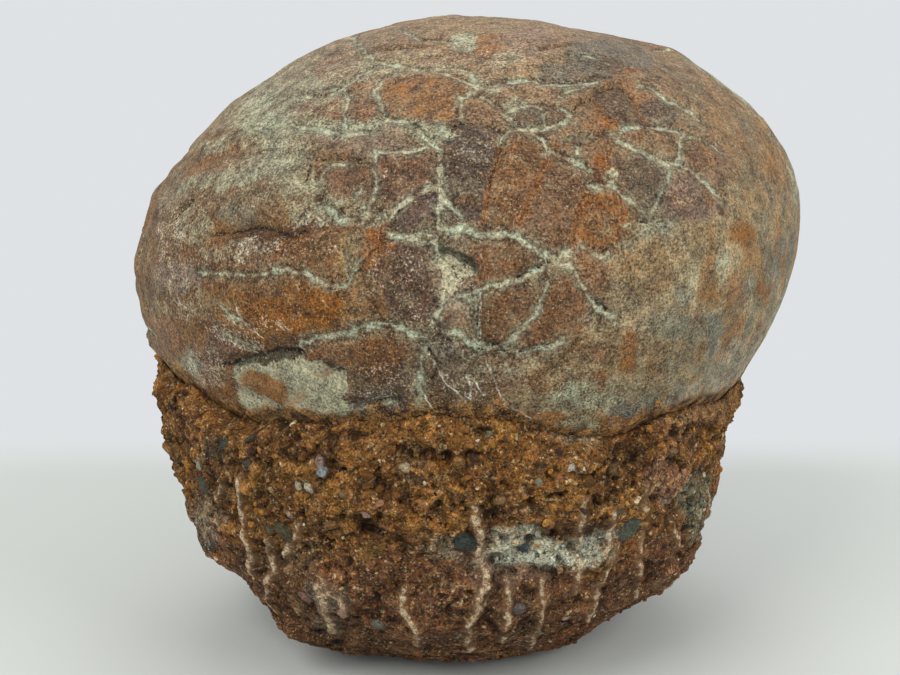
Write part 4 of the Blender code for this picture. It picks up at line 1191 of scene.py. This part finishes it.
def shellMaterial(paints):
    # laid over one another in turn: ground, films, tints, lines, soil and chips; then all of it
    # times a light made of sand grain
    made, tree, shader = newMaterial("fossilShell")
    where = millimetres(tree)
    patches = cloudy(tree, where, 0.13, 4.0, 0.62).outputs[0]
    mottle = cloudy(tree, where, 0.32, 6.0, 0.70).outputs[0]
    grain = cloudy(tree, where, 2.1, 3.0, 0.8).outputs[0]
    centre = tuple((np.array(shell["centre"]) + modelShift) * 1000.0)
    wobble = wobbleOf(tree, where, 0.55, 2.3, centre, (1.0, 1.0, 1.0))
    bent = vectors(tree, "ADD", where, wobble)
    cells = grainCells(tree, bent, 2.4)
    cellLuck = addNode(tree, "SeparateColor", [(0, cells.outputs["Color"])]).outputs
    upright = vectors(tree, "MULTIPLY", where, (1.0, 1.0, 0.55))
    streaks = cloudy(tree, upright, 0.19, 4.0, 0.66).outputs[0]
    level = vectors(tree, "MULTIPLY", where, (0.25, 0.25, 1.0))
    beds = cloudy(tree, level, 0.42, 4.0, 0.62).outputs[0]
    worn = stored(tree, "worn")
    lively = spread(tree, worn, 1.0, 0.62)
    fineBreak = contrast(tree, grain, -0.3, 0.3)
    softBreak = contrast(tree, mottle, -0.32, 0.32)

    # ground: stored colour, with level beds on the left and upright streaks on the right
    colour = stored(tree, "ground", "Color")
    bedShare = times(tree, stepUp(tree, beds, 0.53, 0.66), spread(tree, worn, 0.55, 0.05))
    colour = mixColours(tree, bedShare, colour, paints["soil"])
    streakShare = times(tree, stepUp(tree, streaks, 0.52, 0.60), spread(tree, worn, 0.10, 0.60))
    colour = mixColours(tree, streakShare, colour, paints["grey"])
    goldShare = times(tree, stepUp(tree, streaks, 0.46, 0.39), times(tree, worn, 0.75))
    colour = mixColours(tree, goldShare, colour, paints["gold"])
    patch = plus(tree, stored(tree, "patch"), times(tree, fineBreak, 0.7))
    patch = stepUp(tree, plus(tree, patch, times(tree, softBreak, 1.0)), 0.35, 0.7)
    colour = layOver(tree, colour, patch, 0.85, paints["patch"])

    # films: a stored amount broken up by noise, so that their edges are grainy
    for name, (fine, least, most, strength) in filmLooks.items():
        amount = plus(tree, stored(tree, name), times(tree, fineBreak, fine))
        amount = plus(tree, amount, softBreak)
        mask = times(tree, stepUp(tree, amount, least, most), strength)
        mask = times(tree, mask, stepUp(tree, stored(tree, name), 0.02, 0.14))
        colour = mixColours(tree, mask, colour, paints[name])

    # mottling over the films, in three tints and three sizes
    amount = times(tree, lively, spread(tree, patch, 1.0, 0.6))
    for scale, *tints in shellTints:
        tones = [(paints[name], *tint) for name, tint in zip(("umber", "veil", "stain"), tints)]
        colour = tintOver(tree, where, colour, scale, amount, tones)

    # lines: a soft film along each, a darker edge, and a grainy core that comes and goes
    fuzz = contrast(tree, grain, -0.30, 0.30)
    gentle = vectors(tree, "SCALE", wobble, scale=0.6)
    comes = contrast(tree, mottle, 0.15, 1.75)
    lineTone = mixColours(tree, stepUp(tree, patches, 0.42, 0.58), paints["paleLine"], paints["coolLine"])
    blush = bandMask(tree, lineAway(tree, "blush", wobble), stored(tree, "blushHalf"), fuzz, 0.3, 1.3)
    broken = plus(tree, mottle, times(tree, fineBreak, 0.3))
    blushShare = times(tree, blush, stepUp(tree, broken, 0.36, 0.6))
    colour = layOver(tree, colour, blushShare, 0.7, paints["blush"])
    rustAway = lineAway(tree, "rust", wobble)
    rustHalf = stored(tree, "rustHalf")
    rustFilm = bandMask(tree, rustAway, plus(tree, rustHalf, 0.35), fuzz, 0.2, 1.5)
    colour = layOver(tree, colour, rustFilm, 0.45, paints["rustFilm"])
    rust = bandMask(tree, rustAway, times(tree, rustHalf, comes), fuzz, 0.3, 1.2)
    colour = layOver(tree, colour, rust, 0.75, paints["rustLine"])
    paleAway = lineAway(tree, "pale", wobble)
    paleHalf = stored(tree, "paleHalf")
    paleFilm = bandMask(tree, paleAway, plus(tree, times(tree, paleHalf, 1.5), 0.9), fuzz, 0.1, 1.35)
    broken = plus(tree, mottle, times(tree, fineBreak, 0.15))
    filmShare = times(tree, paleFilm, stepUp(tree, broken, 0.36, 0.62))
    colour = layOver(tree, colour, filmShare, 0.6, paints["haze"])
    rim = sums(tree, "SUBTRACT", bandMask(tree, paleAway, plus(tree, paleHalf, 0.7), fuzz, 0.6, 1.3),
               bandMask(tree, paleAway, plus(tree, paleHalf, 0.15), fuzz, 0.7, 1.1))
    colour = layOver(tree, colour, sums(tree, "MAXIMUM", rim, 0.0), 0.5, paints["mote"])
    pale = bandMask(tree, paleAway, times(tree, plus(tree, paleHalf, 0.05), comes), fuzz, 0.45, 1.2)
    paleShare = times(tree, pale, spread(tree, stepUp(tree, patches, 0.38, 0.56), 0.45, 0.92))
    colour = mixColours(tree, paleShare, colour, lineTone)
    scratchAway = lineAway(tree, "scratch", gentle)
    scratchHalf = plus(tree, stored(tree, "scratchHalf"), 0.04)
    scratch = bandMask(tree, scratchAway, scratchHalf, times(tree, fuzz, 0.35), 0.5, 1.4)
    scratchShare = times(tree, scratch, spread(tree, stepUp(tree, mottle, 0.40, 0.56), 0.30, 0.85))
    colour = mixColours(tree, scratchShare, colour, paints["scratch"])
    darkHalf = times(tree, stored(tree, "darkHalf"), comes)
    dark = bandMask(tree, lineAway(tree, "dark", gentle), darkHalf, fuzz, 0.3, 1.3)
    lens = stepUp(tree, plus(tree, stored(tree, "lens"), times(tree, fineBreak, 0.7)), 0.35, 0.6)
    colour = layOver(tree, colour, lens, 0.75, paints["pitShade"])

    # soil over the edge, and the chipped place with its shade
    soil = plus(tree, stored(tree, "soil"), times(tree, plus(tree, fineBreak, softBreak), 0.7))
    soil = stepUp(tree, soil, 0.25, 0.70)
    soilTone = mixColours(tree, stepUp(tree, plus(tree, mottle, times(tree, fineBreak, 0.4)), 0.40, 0.58),
                          paints["soilDark"], paints["rimSoil"])
    colour = layOver(tree, colour, soil, 0.92, soilTone)
    pit = stepUp(tree, plus(tree, stored(tree, "pit"), times(tree, fineBreak, 0.5)), 0.35, 0.6)
    colour = layOver(tree, colour, pit, 0.8, paints["pit"])
    pitShade = stepUp(tree, plus(tree, stored(tree, "pitShade"), times(tree, fineBreak, 0.8)), 0.35, 0.7)
    colour = layOver(tree, colour, pitShade, 0.8, paints["pitShade"])
    colour = layOver(tree, colour, dark, 0.92, paints["darkLine"])

    # grain over everything: darker and lighter sand, with pale flecks and dark motes
    calm = times(tree, lively, spread(tree, sums(tree, "MAXIMUM", pit, patch), 1.0, 0.75))
    sand = times(tree, contrast(tree, grain, -0.98, 1.46), calm)
    mid = contrast(tree, mottle, -0.52, 0.52)
    light = sums(tree, "MAXIMUM", plus(tree, plus(tree, sand, mid), shell["tone"]), 0.24)
    light = times(tree, light, plus(tree, 1.0, times(tree, soil, contrast(tree, mottle, -0.6, 0.5))))
    colour = darkened(tree, colour, light)
    cellMiddle = stepUp(tree, cells.outputs["Distance"], 0.45, 0.18)
    fleck = times(tree, stepUp(tree, cellLuck[0], 0.62, 0.80), cellMiddle)
    colour = layOver(tree, colour, times(tree, fleck, calm), 0.62, paints["fleck"])
    mote = times(tree, stepUp(tree, cellLuck[1], 0.76, 0.88), cellMiddle)
    colour = layOver(tree, colour, mote, 0.55, paints["mote"])

    rough = plus(tree, spread(tree, mottle, *shell["roughness"]), times(tree, pale, 0.12))
    height = plus(tree, contrast(tree, grain, -0.14, 0.14), contrast(tree, mottle, -0.30, 0.30))
    finishMaterial(tree, shader, colour, rough, height, shell["looks"])
    return made


# Build the rock

def buildRock():
    # rings of points one above the other: the foot's shrink towards the axis, the wall's stand at
    # wallOut's length, and the seat's lie on the egg's radius plus a gap
    columns = rock["columns"]
    turnRow = np.arange(columns) * 2.0 * np.pi / columns
    azimuthRow = np.degrees(turnRow - rock["columnGather"] * np.cos(turnRow)) % 360.0
    footShare = np.arange(1, rock["footRows"]) / rock["footRows"]
    climb = np.linspace(0.0, 1.0, rock["wallRows"] + 1)
    dip = np.arange(1, rock["seatRows"]) / rock["seatRows"]
    centre = np.array(shell["centre"])

    # wall
    azimuth, share = (grid.ravel() for grid in np.meshgrid(azimuthRow, climb, indexing="xy"))
    flat = np.zeros(len(azimuth))
    nothing, top = wallOut(azimuth, flat, flat)
    height = top * share ** rock["wallGather"]
    rough, nothing = wallOut(azimuth, height, flat)
    detail, look = rockDetail(rough, azimuth, height, top)
    wall, nothing = wallOut(azimuth, height, detail)
    base = wall[:columns]

    # foot: flat rings inside the wall's first ring
    axis = np.array((rock["axisX"], 0.0, 0.0))
    foot = (axis + (base - axis)[None] * footShare[:, None, None]).reshape(-1, 3)

    # seat: from the rim down the egg's underside
    seatRows = dip ** rock["seatGather"]
    seatAzimuth, seatDip = (grid.ravel() for grid in np.meshgrid(azimuthRow, seatRows, indexing="xy"))
    seatRay = direction(seatAzimuth, rimLatitude(seatAzimuth) * (1.0 - seatDip) - 90.0 * seatDip)
    seat = centre + seatRay * (eggRadius(seatRay) + rock["seatGap"])[:, None]
    down = direction(0.0, -90.0)
    bottom = centre + down * (eggRadius(down[None])[0] + rock["seatGap"])
    places = np.concatenate((axis[None], foot, wall, seat, bottom[None])) + modelShift

    rows = len(footShare) + len(climb) + len(dip)
    index = 1 + np.arange(rows * columns).reshape(rows, columns)
    right = np.roll(index, -1, axis=1)
    quads = np.stack((index[:-1], right[:-1], right[1:], index[1:]), axis=-1).reshape(-1, 4)
    first = np.stack((np.zeros(columns, dtype=np.int64), right[0], index[0]), axis=-1)
    last = np.stack((index[-1], right[-1], np.full(columns, len(places) - 1)), axis=-1)

    # flat map: azimuth across, path upwards, with most of its height given to the wall
    level = np.concatenate((np.linspace(0.012, 0.075, len(footShare)), np.linspace(0.09, 0.91, len(climb)),
                            np.linspace(0.925, 0.985, len(dip))))
    left = np.arange(columns) / columns
    u0, v0 = np.meshgrid(left, level[:-1])
    u1, v1 = u0 + 1.0 / columns, np.meshgrid(left, level[1:])[1]
    quadMap = np.stack((u0, v0, u1, v0, u1, v1, u0, v1), axis=-1).reshape(-1, 2)
    half = left + 0.5 / columns
    one = np.ones(columns)
    after = left + 1.0 / columns
    firstMap = np.stack((half, one * 0.0, after, one * level[0], left, one * level[0]), axis=-1)
    lastMap = np.stack((left, one * level[-1], after, one * level[-1], half, one), axis=-1)
    flatMap = np.concatenate((quadMap, firstMap.reshape(-1, 2), lastMap.reshape(-1, 2)))
    paints = {name: paint(*value) for name, value in rockPaints.items()}
    made = makePiece("red_matrix", places, [quads, first, last], rockMaterial(paints), flatMap)

    # the wall's stored looks; the foot and the seat carry those of the rings that they start from
    def whole(values):
        values = values.reshape(len(climb), columns, -1)
        under = np.repeat(values[:1], len(footShare), axis=0)
        over = np.repeat(values[-1:], len(dip), axis=0)
        stack = np.concatenate((under, values, over)).reshape(rows * columns, -1)
        stack = np.concatenate((stack[:1], stack, stack[-1:]))
        return stack if stack.shape[1] > 1 else stack.ravel()

    for name, values in look.items():
        keepValues(made, name, whole(values))
    buildGrit(wall, look)
    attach(made, "root")
    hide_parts("matrix")
    print("rock:", len(places), "points,", len(quads) * 2 + columns * 2, "triangles")
    return made


def rockDetail(rough, azimuth, height, top):
    # finer relief of the wall, and the numbers that its material reads
    places = rough + modelShift
    turn = np.radians(azimuth)
    outward = np.stack((np.cos(turn), np.sin(turn), np.full_like(turn, -0.15)), axis=-1)
    seen = frontShare(places, unit(outward))
    spots = pictureOf(places)
    wander = lumpSteps(places, 0.005, (61, 62)) * 12.0
    wander += lumpSteps(places, 0.002, (63, 64)) * 6.0
    moved = spots + wander
    below = (top - height) * 1000.0 + 5.0 * lumps(places, 0.012, 65) + 3.0 * lumps(places, 0.004, 66)
    crumbly = eased(below, 31.0, 22.0)       # the upper band breaks into crumbs

    away, luck, gap = grains(places, 0.0042, 71)
    crumbs = np.sqrt(np.clip(1.0 - (away / 0.62) ** 2, 0.0, 1.0)) * eased(luck, -0.5, 0.6)
    awayFine, luckFine = grains(places, 0.0021, 72)[:2]
    crumbsFine = np.sqrt(np.clip(1.0 - (awayFine / 0.62) ** 2, 0.0, 1.0)) * eased(luckFine, -0.4, 0.7)
    flat = places * np.array((0.65, 0.65, 1.2))
    broad = lumps(flat, 0.0068, 77)
    ragged = lumps(places, 0.0030, 73)
    ragFine = lumps(places, 0.0016, 74)
    pits = lumps(flat, 0.0048, 75) + 0.9 * lumps(places, 0.0021, 76) + 0.5 * lumps(places, 0.0012, 80)
    pits = eased(pits, -0.14, -0.50)
    crackLine = np.abs(lumps(flat, 0.0085, 78) + 0.25 * ragged)
    cracks = eased(crackLine, 0.045, 0.0) * eased(lumps(places, 0.012, 79), -0.15, 0.1)
    large, small = rock["crumbRise"]
    detail = large * crumbs * (0.5 + 0.5 * crumbly) + small * crumbsFine
    wide, medium, fine = rock["relief"]
    detail += (wide * broad + medium * ragged + fine * ragFine) * (0.7 + 0.3 * crumbly)
    detail -= rock["pitDepth"] * pits * (0.4 + 0.6 * crumbly) + rock["crackDepth"] * cracks
    relief = eased(detail, -0.0014, 0.0014)

    # ribs and pebbles
    bend = lumpSteps(places, 0.004, (81, 82, 83)) * rock["ribBend"]
    starts, ends, halves = linesToPieces(rockLines["rib"], outsideRock)
    for place, lean, low, high in rock["backRibs"]:
        levels = np.linspace(low, high, 7)
        line, nothing = wallOut(place + lean * (levels - 0.004), levels, np.zeros(7))
        line = line + modelShift
        starts = np.concatenate((starts, line[:-1]))
        ends = np.concatenate((ends, line[1:]))
        halves = np.concatenate((halves, np.full(6, 0.00055)))
    step, far, half = nearestPiece(places + bend, (starts, ends, halves))
    ribShare = np.exp(-((far / (half + 0.0006)) ** 2))
    detail = detail * (1.0 - 0.65 * ribShare) + rock["ribHeight"] * ribShare
    stoneFar = np.full(len(places), 9.0)
    stoneColour = np.tile(paint(120, 110, 96), (len(places), 1))
    spotsPicked = np.array([pebble[:2] for pebble in rockPebbles], dtype=float)
    landed = landOn(spotsPicked, outsideRock)
    pebbles = [(*place, pebble[2] / 1000.0, pebble[3]) for place, pebble in zip(landed, rockPebbles)]
    backTones = ((96, 100, 88), (150, 140, 120), (72, 66, 60), (170, 150, 126))
    for number, (place, level, size) in enumerate(rock["backPebbles"]):
        spot, nothing = wallOut(np.array([place], dtype=float), np.array([level]), np.zeros(1))
        pebbles.append((*(spot[0] + modelShift), size, backTones[number % 4]))
    for x, y, z, size, colour in pebbles:
        length = np.linalg.norm(places - np.array((x, y, z)), axis=1)
        length = length * (1.0 + 0.5 * lumps(places, 0.0035, 84))
        bulge = np.sqrt(np.clip(1.0 - (length / size) ** 2, 0.0, 1.0))
        under = detail * (1.0 - eased(bulge, 0.0, 0.3))
        detail = np.maximum(detail, under + rock["pebbleStanding"] * size * bulge)
        closer = length - size < stoneFar
        stoneFar = np.where(closer, length - size, stoneFar)
        stoneColour = np.where(closer[:, None], paint(*colour), stoneColour)

    paints = {name: paint(*value) for name, value in rockPaints.items()}

    def twoTones(name, size, seed, most):
        # a paint and its darker one, mixed by lumps
        share = eased(lumps(places, size, seed), -0.2, most)
        return layColour(np.tile(paints[name], (len(places), 1)), share, paints[name + "Dark"])

    ochre = twoTones("ochre", 0.009, 91, 0.3)
    red = twoTones("red", 0.010, 92, 0.35)
    ground = layColour(red, crumbly, ochre)
    washed = ground
    chalk = np.zeros(len(places))
    for wash, colour, amount in rockWashes:
        share = spotWash(moved, wash) * amount
        washed = layColour(washed, share, paint(*colour))
        if min(colour) > rock["chalkFrom"]:
            chalk = np.maximum(chalk, share * seen)
    bandHeight = 0.030 + 0.004 * np.sin(turn * 3.0 + 1.0)
    backBand = np.exp(-(((height - bandHeight) / 0.004) ** 2)) * eased(lumps(places, 0.018, 93), 0.02, 0.3)
    behind = layColour(ground, backBand * 0.8, paint(170, 162, 146))
    ground = layColour(behind, seen, washed)
    look = {
        "ground": opaque(ground),
        "ribStep": step * 1000.0, "ribFar": far * 1000.0, "ribHalf": half * 1000.0,
        "stoneFar": stoneFar * 1000.0,
        "stoneColour": opaque(stoneColour),
        "pits": np.maximum(pits, 0.8 * cracks), "crumbly": crumbly, "luck": luck, "gap": gap,
        "relief": relief, "chalk": np.maximum(chalk, backBand * 0.6 * (1.0 - seen)),
    }
    return detail, look


# Loose grains: 0 large or 1 small, which of a cell's three chance numbers, paint, the number at
# which a grain shows, and strength
rockGrains = (
    (0, 0, "crumbGold", 0.76, 0.6), (0, 1, "darkCrumbAndShade", 0.76, 0.7), (0, 2, "crumbPale", 0.90, 0.75),
    (1, 0, "crumbPale", 0.86, 0.7), (1, 1, "darkCrumbAndShade", 0.76, 0.6), (1, 2, "crumbGrey", 0.90, 0.55),
)


def rockMaterial(paints):
    # laid over one another in turn: ground, tints and loose grains, times a light made of sand
    # grain, pits and crests; then ribs and pebbles
    made, tree, shader = newMaterial("redMatrix")
    where = millimetres(tree)
    crumbly = stored(tree, "crumbly")
    patches = cloudy(tree, where, 0.12, 3.0, 0.6).outputs[0]
    mottle = cloudy(tree, where, 0.42, 6.0, 0.70).outputs[0]
    grain = cloudy(tree, where, 2.1, 3.0, 0.8).outputs[0]
    centre = tuple((np.array((rock["axisX"], 0.0, 0.0)) + modelShift) * 1000.0)
    wobble = wobbleOf(tree, where, 0.6, 1.8, centre, (1.0, 1.0, 0.0))
    bent = vectors(tree, "ADD", where, wobble)
    cells = [grainCells(tree, bent, scale) for scale in (1.05, 2.2)]
    luck = [addNode(tree, "SeparateColor", [(0, each.outputs["Color"])]).outputs for each in cells]
    fuzz = contrast(tree, grain, -0.22, 0.22)

    # ground: stored colour, each crumb a little different, gold soil where the rock is crumbly
    colour = stored(tree, "ground", "Color")
    colour = darkened(tree, colour, spread(tree, stored(tree, "luck"), 1.0, 1.3))
    gold = times(tree, stepUp(tree, mottle, 0.50, 0.62), spread(tree, crumbly, 0.10, 0.55))
    colour = mixColours(tree, gold, colour, paints["crumbGold"])
    plum = times(tree, stepUp(tree, patches, 0.50, 0.66), spread(tree, crumbly, 0.45, 0.05))
    colour = mixColours(tree, plum, colour, paints["plum"])
    for scale, *tints in rockTints:
        tones = [(paints[name], *tint) for name, tint in zip(("darkCrumbAndShade", "crumbPale", "rust"), tints)]
        colour = tintOver(tree, where, colour, scale, spread(tree, stored(tree, "chalk"), 1.0, 0.4), tones)

    # loose grains in three tones and two sizes
    for size, number, name, least, strength in rockGrains:
        mask = times(tree, stepUp(tree, luck[size][number], least, least + 0.06),
                     stepUp(tree, cells[size].outputs["Distance"], 0.50, 0.30))
        colour = layOver(tree, colour, mask, strength, paints[name])

    # relief as light and dark: sand grain, hollows between crumbs, and stored pits and crests
    sand = plus(tree, contrast(tree, grain, -0.95, 1.25), contrast(tree, mottle, -0.55, 0.55))
    light = sums(tree, "MAXIMUM", plus(tree, sand, rock["tone"]), 0.16)
    crease = stepUp(tree, plus(tree, stored(tree, "gap"), times(tree, fuzz, 0.25)), 0.0, 0.16)
    light = times(tree, light, spread(tree, crease, 0.62, 1.0))
    light = times(tree, light, spread(tree, stored(tree, "pits"), 1.0, 0.45))
    light = times(tree, light, spread(tree, stored(tree, "relief"), 0.66, 1.34))
    colour = darkened(tree, colour, light)

    # ribs and pebbles
    comes = contrast(tree, mottle, 0.6, 1.5)
    away = lineAway(tree, "rib", wobble)
    half = stored(tree, "ribHalf")
    film = bandMask(tree, away, plus(tree, half, 0.8), fuzz, 0.2, 1.3)
    colour = layOver(tree, colour, film, 0.35, paints["ribFilm"])
    rib = bandMask(tree, away, times(tree, half, comes), fuzz, 0.55, 1.1)
    ribShare = stepUp(tree, plus(tree, mottle, fuzz), 0.36, 0.66)
    ribTone = mixColours(tree, ribShare, paints["ribFilm"], paints["rib"])
    ribTone = darkened(tree, ribTone, plus(tree, 1.0, times(tree, sand, 0.5)))
    colour = layOver(tree, colour, rib, 0.92, ribTone)
    edge = plus(tree, stored(tree, "stoneFar"), plus(tree, fuzz, contrast(tree, mottle, -0.55, 0.55)))
    stone = stepUp(tree, edge, 0.10, -0.20)
    # painted shade: a dark ring around each pebble, where it sits in the rock
    ring = times(tree, stepUp(tree, edge, 0.55, 0.05), 0.6)
    colour = mixColours(tree, ring, colour, paints["darkCrumbAndShade"])
    stoneLight = sums(tree, "MAXIMUM", plus(tree, 0.86, times(tree, sand, 0.75)), 0.3)
    stoneTone = darkened(tree, stored(tree, "stoneColour", "Color"), stoneLight)
    colour = layOver(tree, colour, stone, 0.9, stoneTone)

    rough = spread(tree, mottle, *rock["roughness"])
    height = plus(tree, contrast(tree, grain, -0.10, 0.10), contrast(tree, mottle, -0.50, 0.50))
    finishMaterial(tree, shader, colour, rough, height, rock["looks"])
    return made


# Grit on the rock

grit = {
    "count": 2300,
    "seed": 7,
    "radius": (0.00030, 0.00115),     # least and most, metres; small ones are far more common
    "sunk": 0.35,                    # share of the radius that a grain's middle lies under the wall
    "rough": 0.34,
    "squash": (0.5, 1.2),
    "accents": ((196, 178, 144), (56, 42, 32), (108, 110, 94), (172, 122, 60), (140, 98, 72)),
    "accentShare": 0.18,
    "roughness": (0.65, 0.95),
    "looks": (0.2, 0.0006, 0.8),     # shine, bump height in metres, bump strength
}


def buildGrit(wall, look):
    # small closed grains: a cube's corners drawn onto a ball, pushed in and out by chance, stretched
    # along three turned axes, and set half into the wall at chance places
    chance = np.random.default_rng(grit["seed"])
    corners, quads, flatMap = cubeGrid(2)
    ball = unit(corners - 1.0)
    weight = (0.35 + look["crumbly"]) * eased(wall[:, 2], 0.0008, 0.0030) * (look["stoneFar"] > 0.3)
    picked = chance.choice(len(wall), grit["count"], replace=False, p=weight / weight.sum())
    least, most = grit["radius"]
    radius = least * (most / least) ** (chance.uniform(0.0, 1.0, grit["count"]) ** 2.2)
    axes = np.linalg.qr(chance.normal(size=(grit["count"], 3, 3)))[0]
    stretch = chance.uniform(*grit["squash"], (grit["count"], 1, 3))
    push = 1.0 + grit["rough"] * chance.uniform(-1.0, 1.0, (grit["count"], len(ball), 1))
    forms = np.einsum("nij,nkj->nki", axes, ball[None] * push * stretch) * radius[:, None, None]
    flip = np.linalg.det(axes) < 0.0
    forms[flip] = -forms[flip]
    outward = wall[picked] - np.array((rock["axisX"], 0.0, 0.0))
    outward[:, 2] = 0.0
    middle = wall[picked] + unit(outward) * (radius * -grit["sunk"])[:, None] + modelShift
    places = (middle[:, None] + forms).reshape(-1, 3)
    places[:, 2] = np.maximum(places[:, 2], 0.0002)
    faces = (quads[None] + np.arange(grit["count"])[:, None, None] * len(ball)).reshape(-1, 4)
    across = int(np.ceil(np.sqrt(grit["count"])))
    cell = np.stack((np.arange(grit["count"]) % across, np.arange(grit["count"]) // across), axis=-1)
    mapPlaces = (flatMap[None] * 0.9 + 0.05 + cell[:, None, None, :]) / across
    made = makePiece("matrix_grit", places, [faces], gritMaterial(), mapPlaces.reshape(-1, 2))
    made.data.shade_flat()
    accents = np.array([paint(*tone) for tone in grit["accents"]])
    tone = look["ground"][picked, :3] * chance.uniform(0.55, 1.35, (grit["count"], 1))
    swap = chance.uniform(0.0, 1.0, grit["count"]) < grit["accentShare"]
    tone = np.where(swap[:, None], accents[chance.integers(0, len(accents), grit["count"])], tone)
    tone = np.repeat(tone, len(ball), axis=0)
    keepValues(made, "ground", opaque(tone))
    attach(made, "root")
    print("grit:", grit["count"], "grains,", len(faces) * 2, "triangles")
    return made


def gritMaterial():
    made, tree, shader = newMaterial("matrixGrit")
    where = millimetres(tree)
    mottle = cloudy(tree, where, 0.8, 4.0, 0.7).outputs[0]
    grain = cloudy(tree, where, 2.0, 2.0, 0.7).outputs[0]
    light = plus(tree, contrast(tree, mottle, -0.4, 0.4), contrast(tree, grain, -0.35, 0.4))
    light = sums(tree, "MAXIMUM", plus(tree, light, 0.95), 0.2)
    colour = darkened(tree, stored(tree, "ground", "Color"), light)
    rough = spread(tree, mottle, *grit["roughness"])
    finishMaterial(tree, shader, colour, rough, mottle, grit["looks"])
    return made


# The stage, lights and camera

stage = {
    "floorNear": (196, 201, 199),
    "wall": (223, 226, 228),
    "turnsPale": (0.085, 0.130),     # the floor turns into the wall's tone behind the object, metres
    "farPale": (0.30, 0.60),         # and does so on all sides this far from its middle
    "flat": 1.6,                     # radius of the flat floor, before it sweeps up, metres
    "sweep": 1.5,
    "world": (0.88, 0.88, 0.87),
    "worldStrength": 0.74,
    # area lights: place, size in metres, watts and colour
    "lights": (
        ((-0.55, -0.65, 0.85), 0.6, 7.2, (1.0, 0.97, 0.92)),
        ((0.70, -0.45, 0.60), 0.6, 4.6, (1.0, 0.97, 0.93)),
        ((0.0, 0.55, 0.75), 0.6, 2.4, (1.0, 0.98, 0.96)),
    ),
}


def buildStage():
    # floor and wall in one: a flat disc whose edge sweeps up along a quarter circle, turned about Z
    turns = np.radians(np.arange(0.0, 360.0, 5.0))
    bow = np.radians(np.linspace(0.0, 90.0, 13))
    radius = np.concatenate(([0.2], stage["flat"] + stage["sweep"] * np.sin(bow)))
    height = np.concatenate(([0.0], stage["sweep"] * (1.0 - np.cos(bow))))
    ring = np.stack((np.outer(radius, np.cos(turns)), np.outer(radius, np.sin(turns)),
                     np.outer(height, np.ones(len(turns)))), axis=-1).reshape(-1, 3)
    index = 1 + np.arange(len(ring)).reshape(len(radius), len(turns))
    after = np.roll(index, -1, axis=1)
    quads = np.stack((index[:-1], index[1:], after[1:], after[:-1]), axis=-1).reshape(-1, 4)
    middle = np.stack((np.zeros(len(turns), dtype=int), index[0], after[0]), axis=-1)
    mesh = bpy.data.meshes.new("floor")
    places = np.concatenate(([(0.0, 0.0, 0.0)], ring))
    mesh.from_pydata(places.tolist(), [], middle.tolist() + quads.tolist())
    mesh.shade_smooth()
    floor = bpy.data.objects.new("floor", mesh)
    bpy.context.scene.collection.objects.link(floor)
    made, tree, shader = newMaterial("paleFloor")
    where = addNode(tree, "TexCoord").outputs["Object"]
    back = addNode(tree, "SeparateXYZ", [(0, where)]).outputs["Y"]
    away = vectors(tree, "LENGTH", where, output="Value")
    share = sums(tree, "MAXIMUM", stepUp(tree, back, *stage["turnsPale"]),
                 stepUp(tree, away, *stage["farPale"]))
    colour = mixColours(tree, share, paint(*stage["floorNear"]), (0.0, 0.0, 0.0))
    tree.links.new(colour, shader.inputs["Base Color"])
    shader.inputs["Roughness"].default_value = 0.8
    shader.inputs["Specular IOR Level"].default_value = 0.0
    shader.inputs["Emission Color"].default_value = (*paint(*stage["wall"]), 1.0)
    tree.links.new(share, shader.inputs["Emission Strength"])
    mesh.materials.append(made)

    world = bpy.data.worlds.new("studio")
    bpy.context.scene.world = world
    world.use_nodes = True
    backdrop = world.node_tree.nodes["Background"]
    backdrop.inputs[0].default_value = (*stage["world"], 1.0)
    backdrop.inputs[1].default_value = stage["worldStrength"]
    middle = np.array((0.0, 0.0, 0.07))
    for number, (place, wide, watts, tone) in enumerate(stage["lights"]):
        lamp = bpy.data.lights.new("softbox" + str(number + 1), "AREA")
        lamp.size = wide
        lamp.energy = watts
        lamp.color = tone
        lampObject = bpy.data.objects.new(lamp.name, lamp)
        lampObject.location = place
        lampObject.visible_camera = False
        lampObject.rotation_euler = turnTo(unit(middle - np.array(place)))
        bpy.context.scene.collection.objects.link(lampObject)
    print("stage: floor and", len(stage["lights"]), "lights")


def turnTo(aim):
    # angles that point a lamp's or camera's -Z along aim, kept level
    pitch = np.arctan2(np.hypot(aim[0], aim[1]), -aim[2])
    heading = np.arctan2(-aim[0], aim[1])
    return (float(pitch), 0.0, float(heading))


def buildCamera():
    lens = bpy.data.cameras.new("camera")
    lens.lens = camera["lens"]
    lens.sensor_width = camera["sensor"]
    lens.clip_start = 0.01
    made = bpy.data.objects.new("camera", lens)
    made.location = camera["spot"]
    made.rotation_euler = turnTo(unit(np.array(camera["aim"]) - np.array(camera["spot"])))
    bpy.context.scene.collection.objects.link(made)
    bpy.context.scene.camera = made
    bpy.context.scene.view_settings.view_transform = "Standard"


buildCamera()
buildStage()
buildShell()
buildRock()
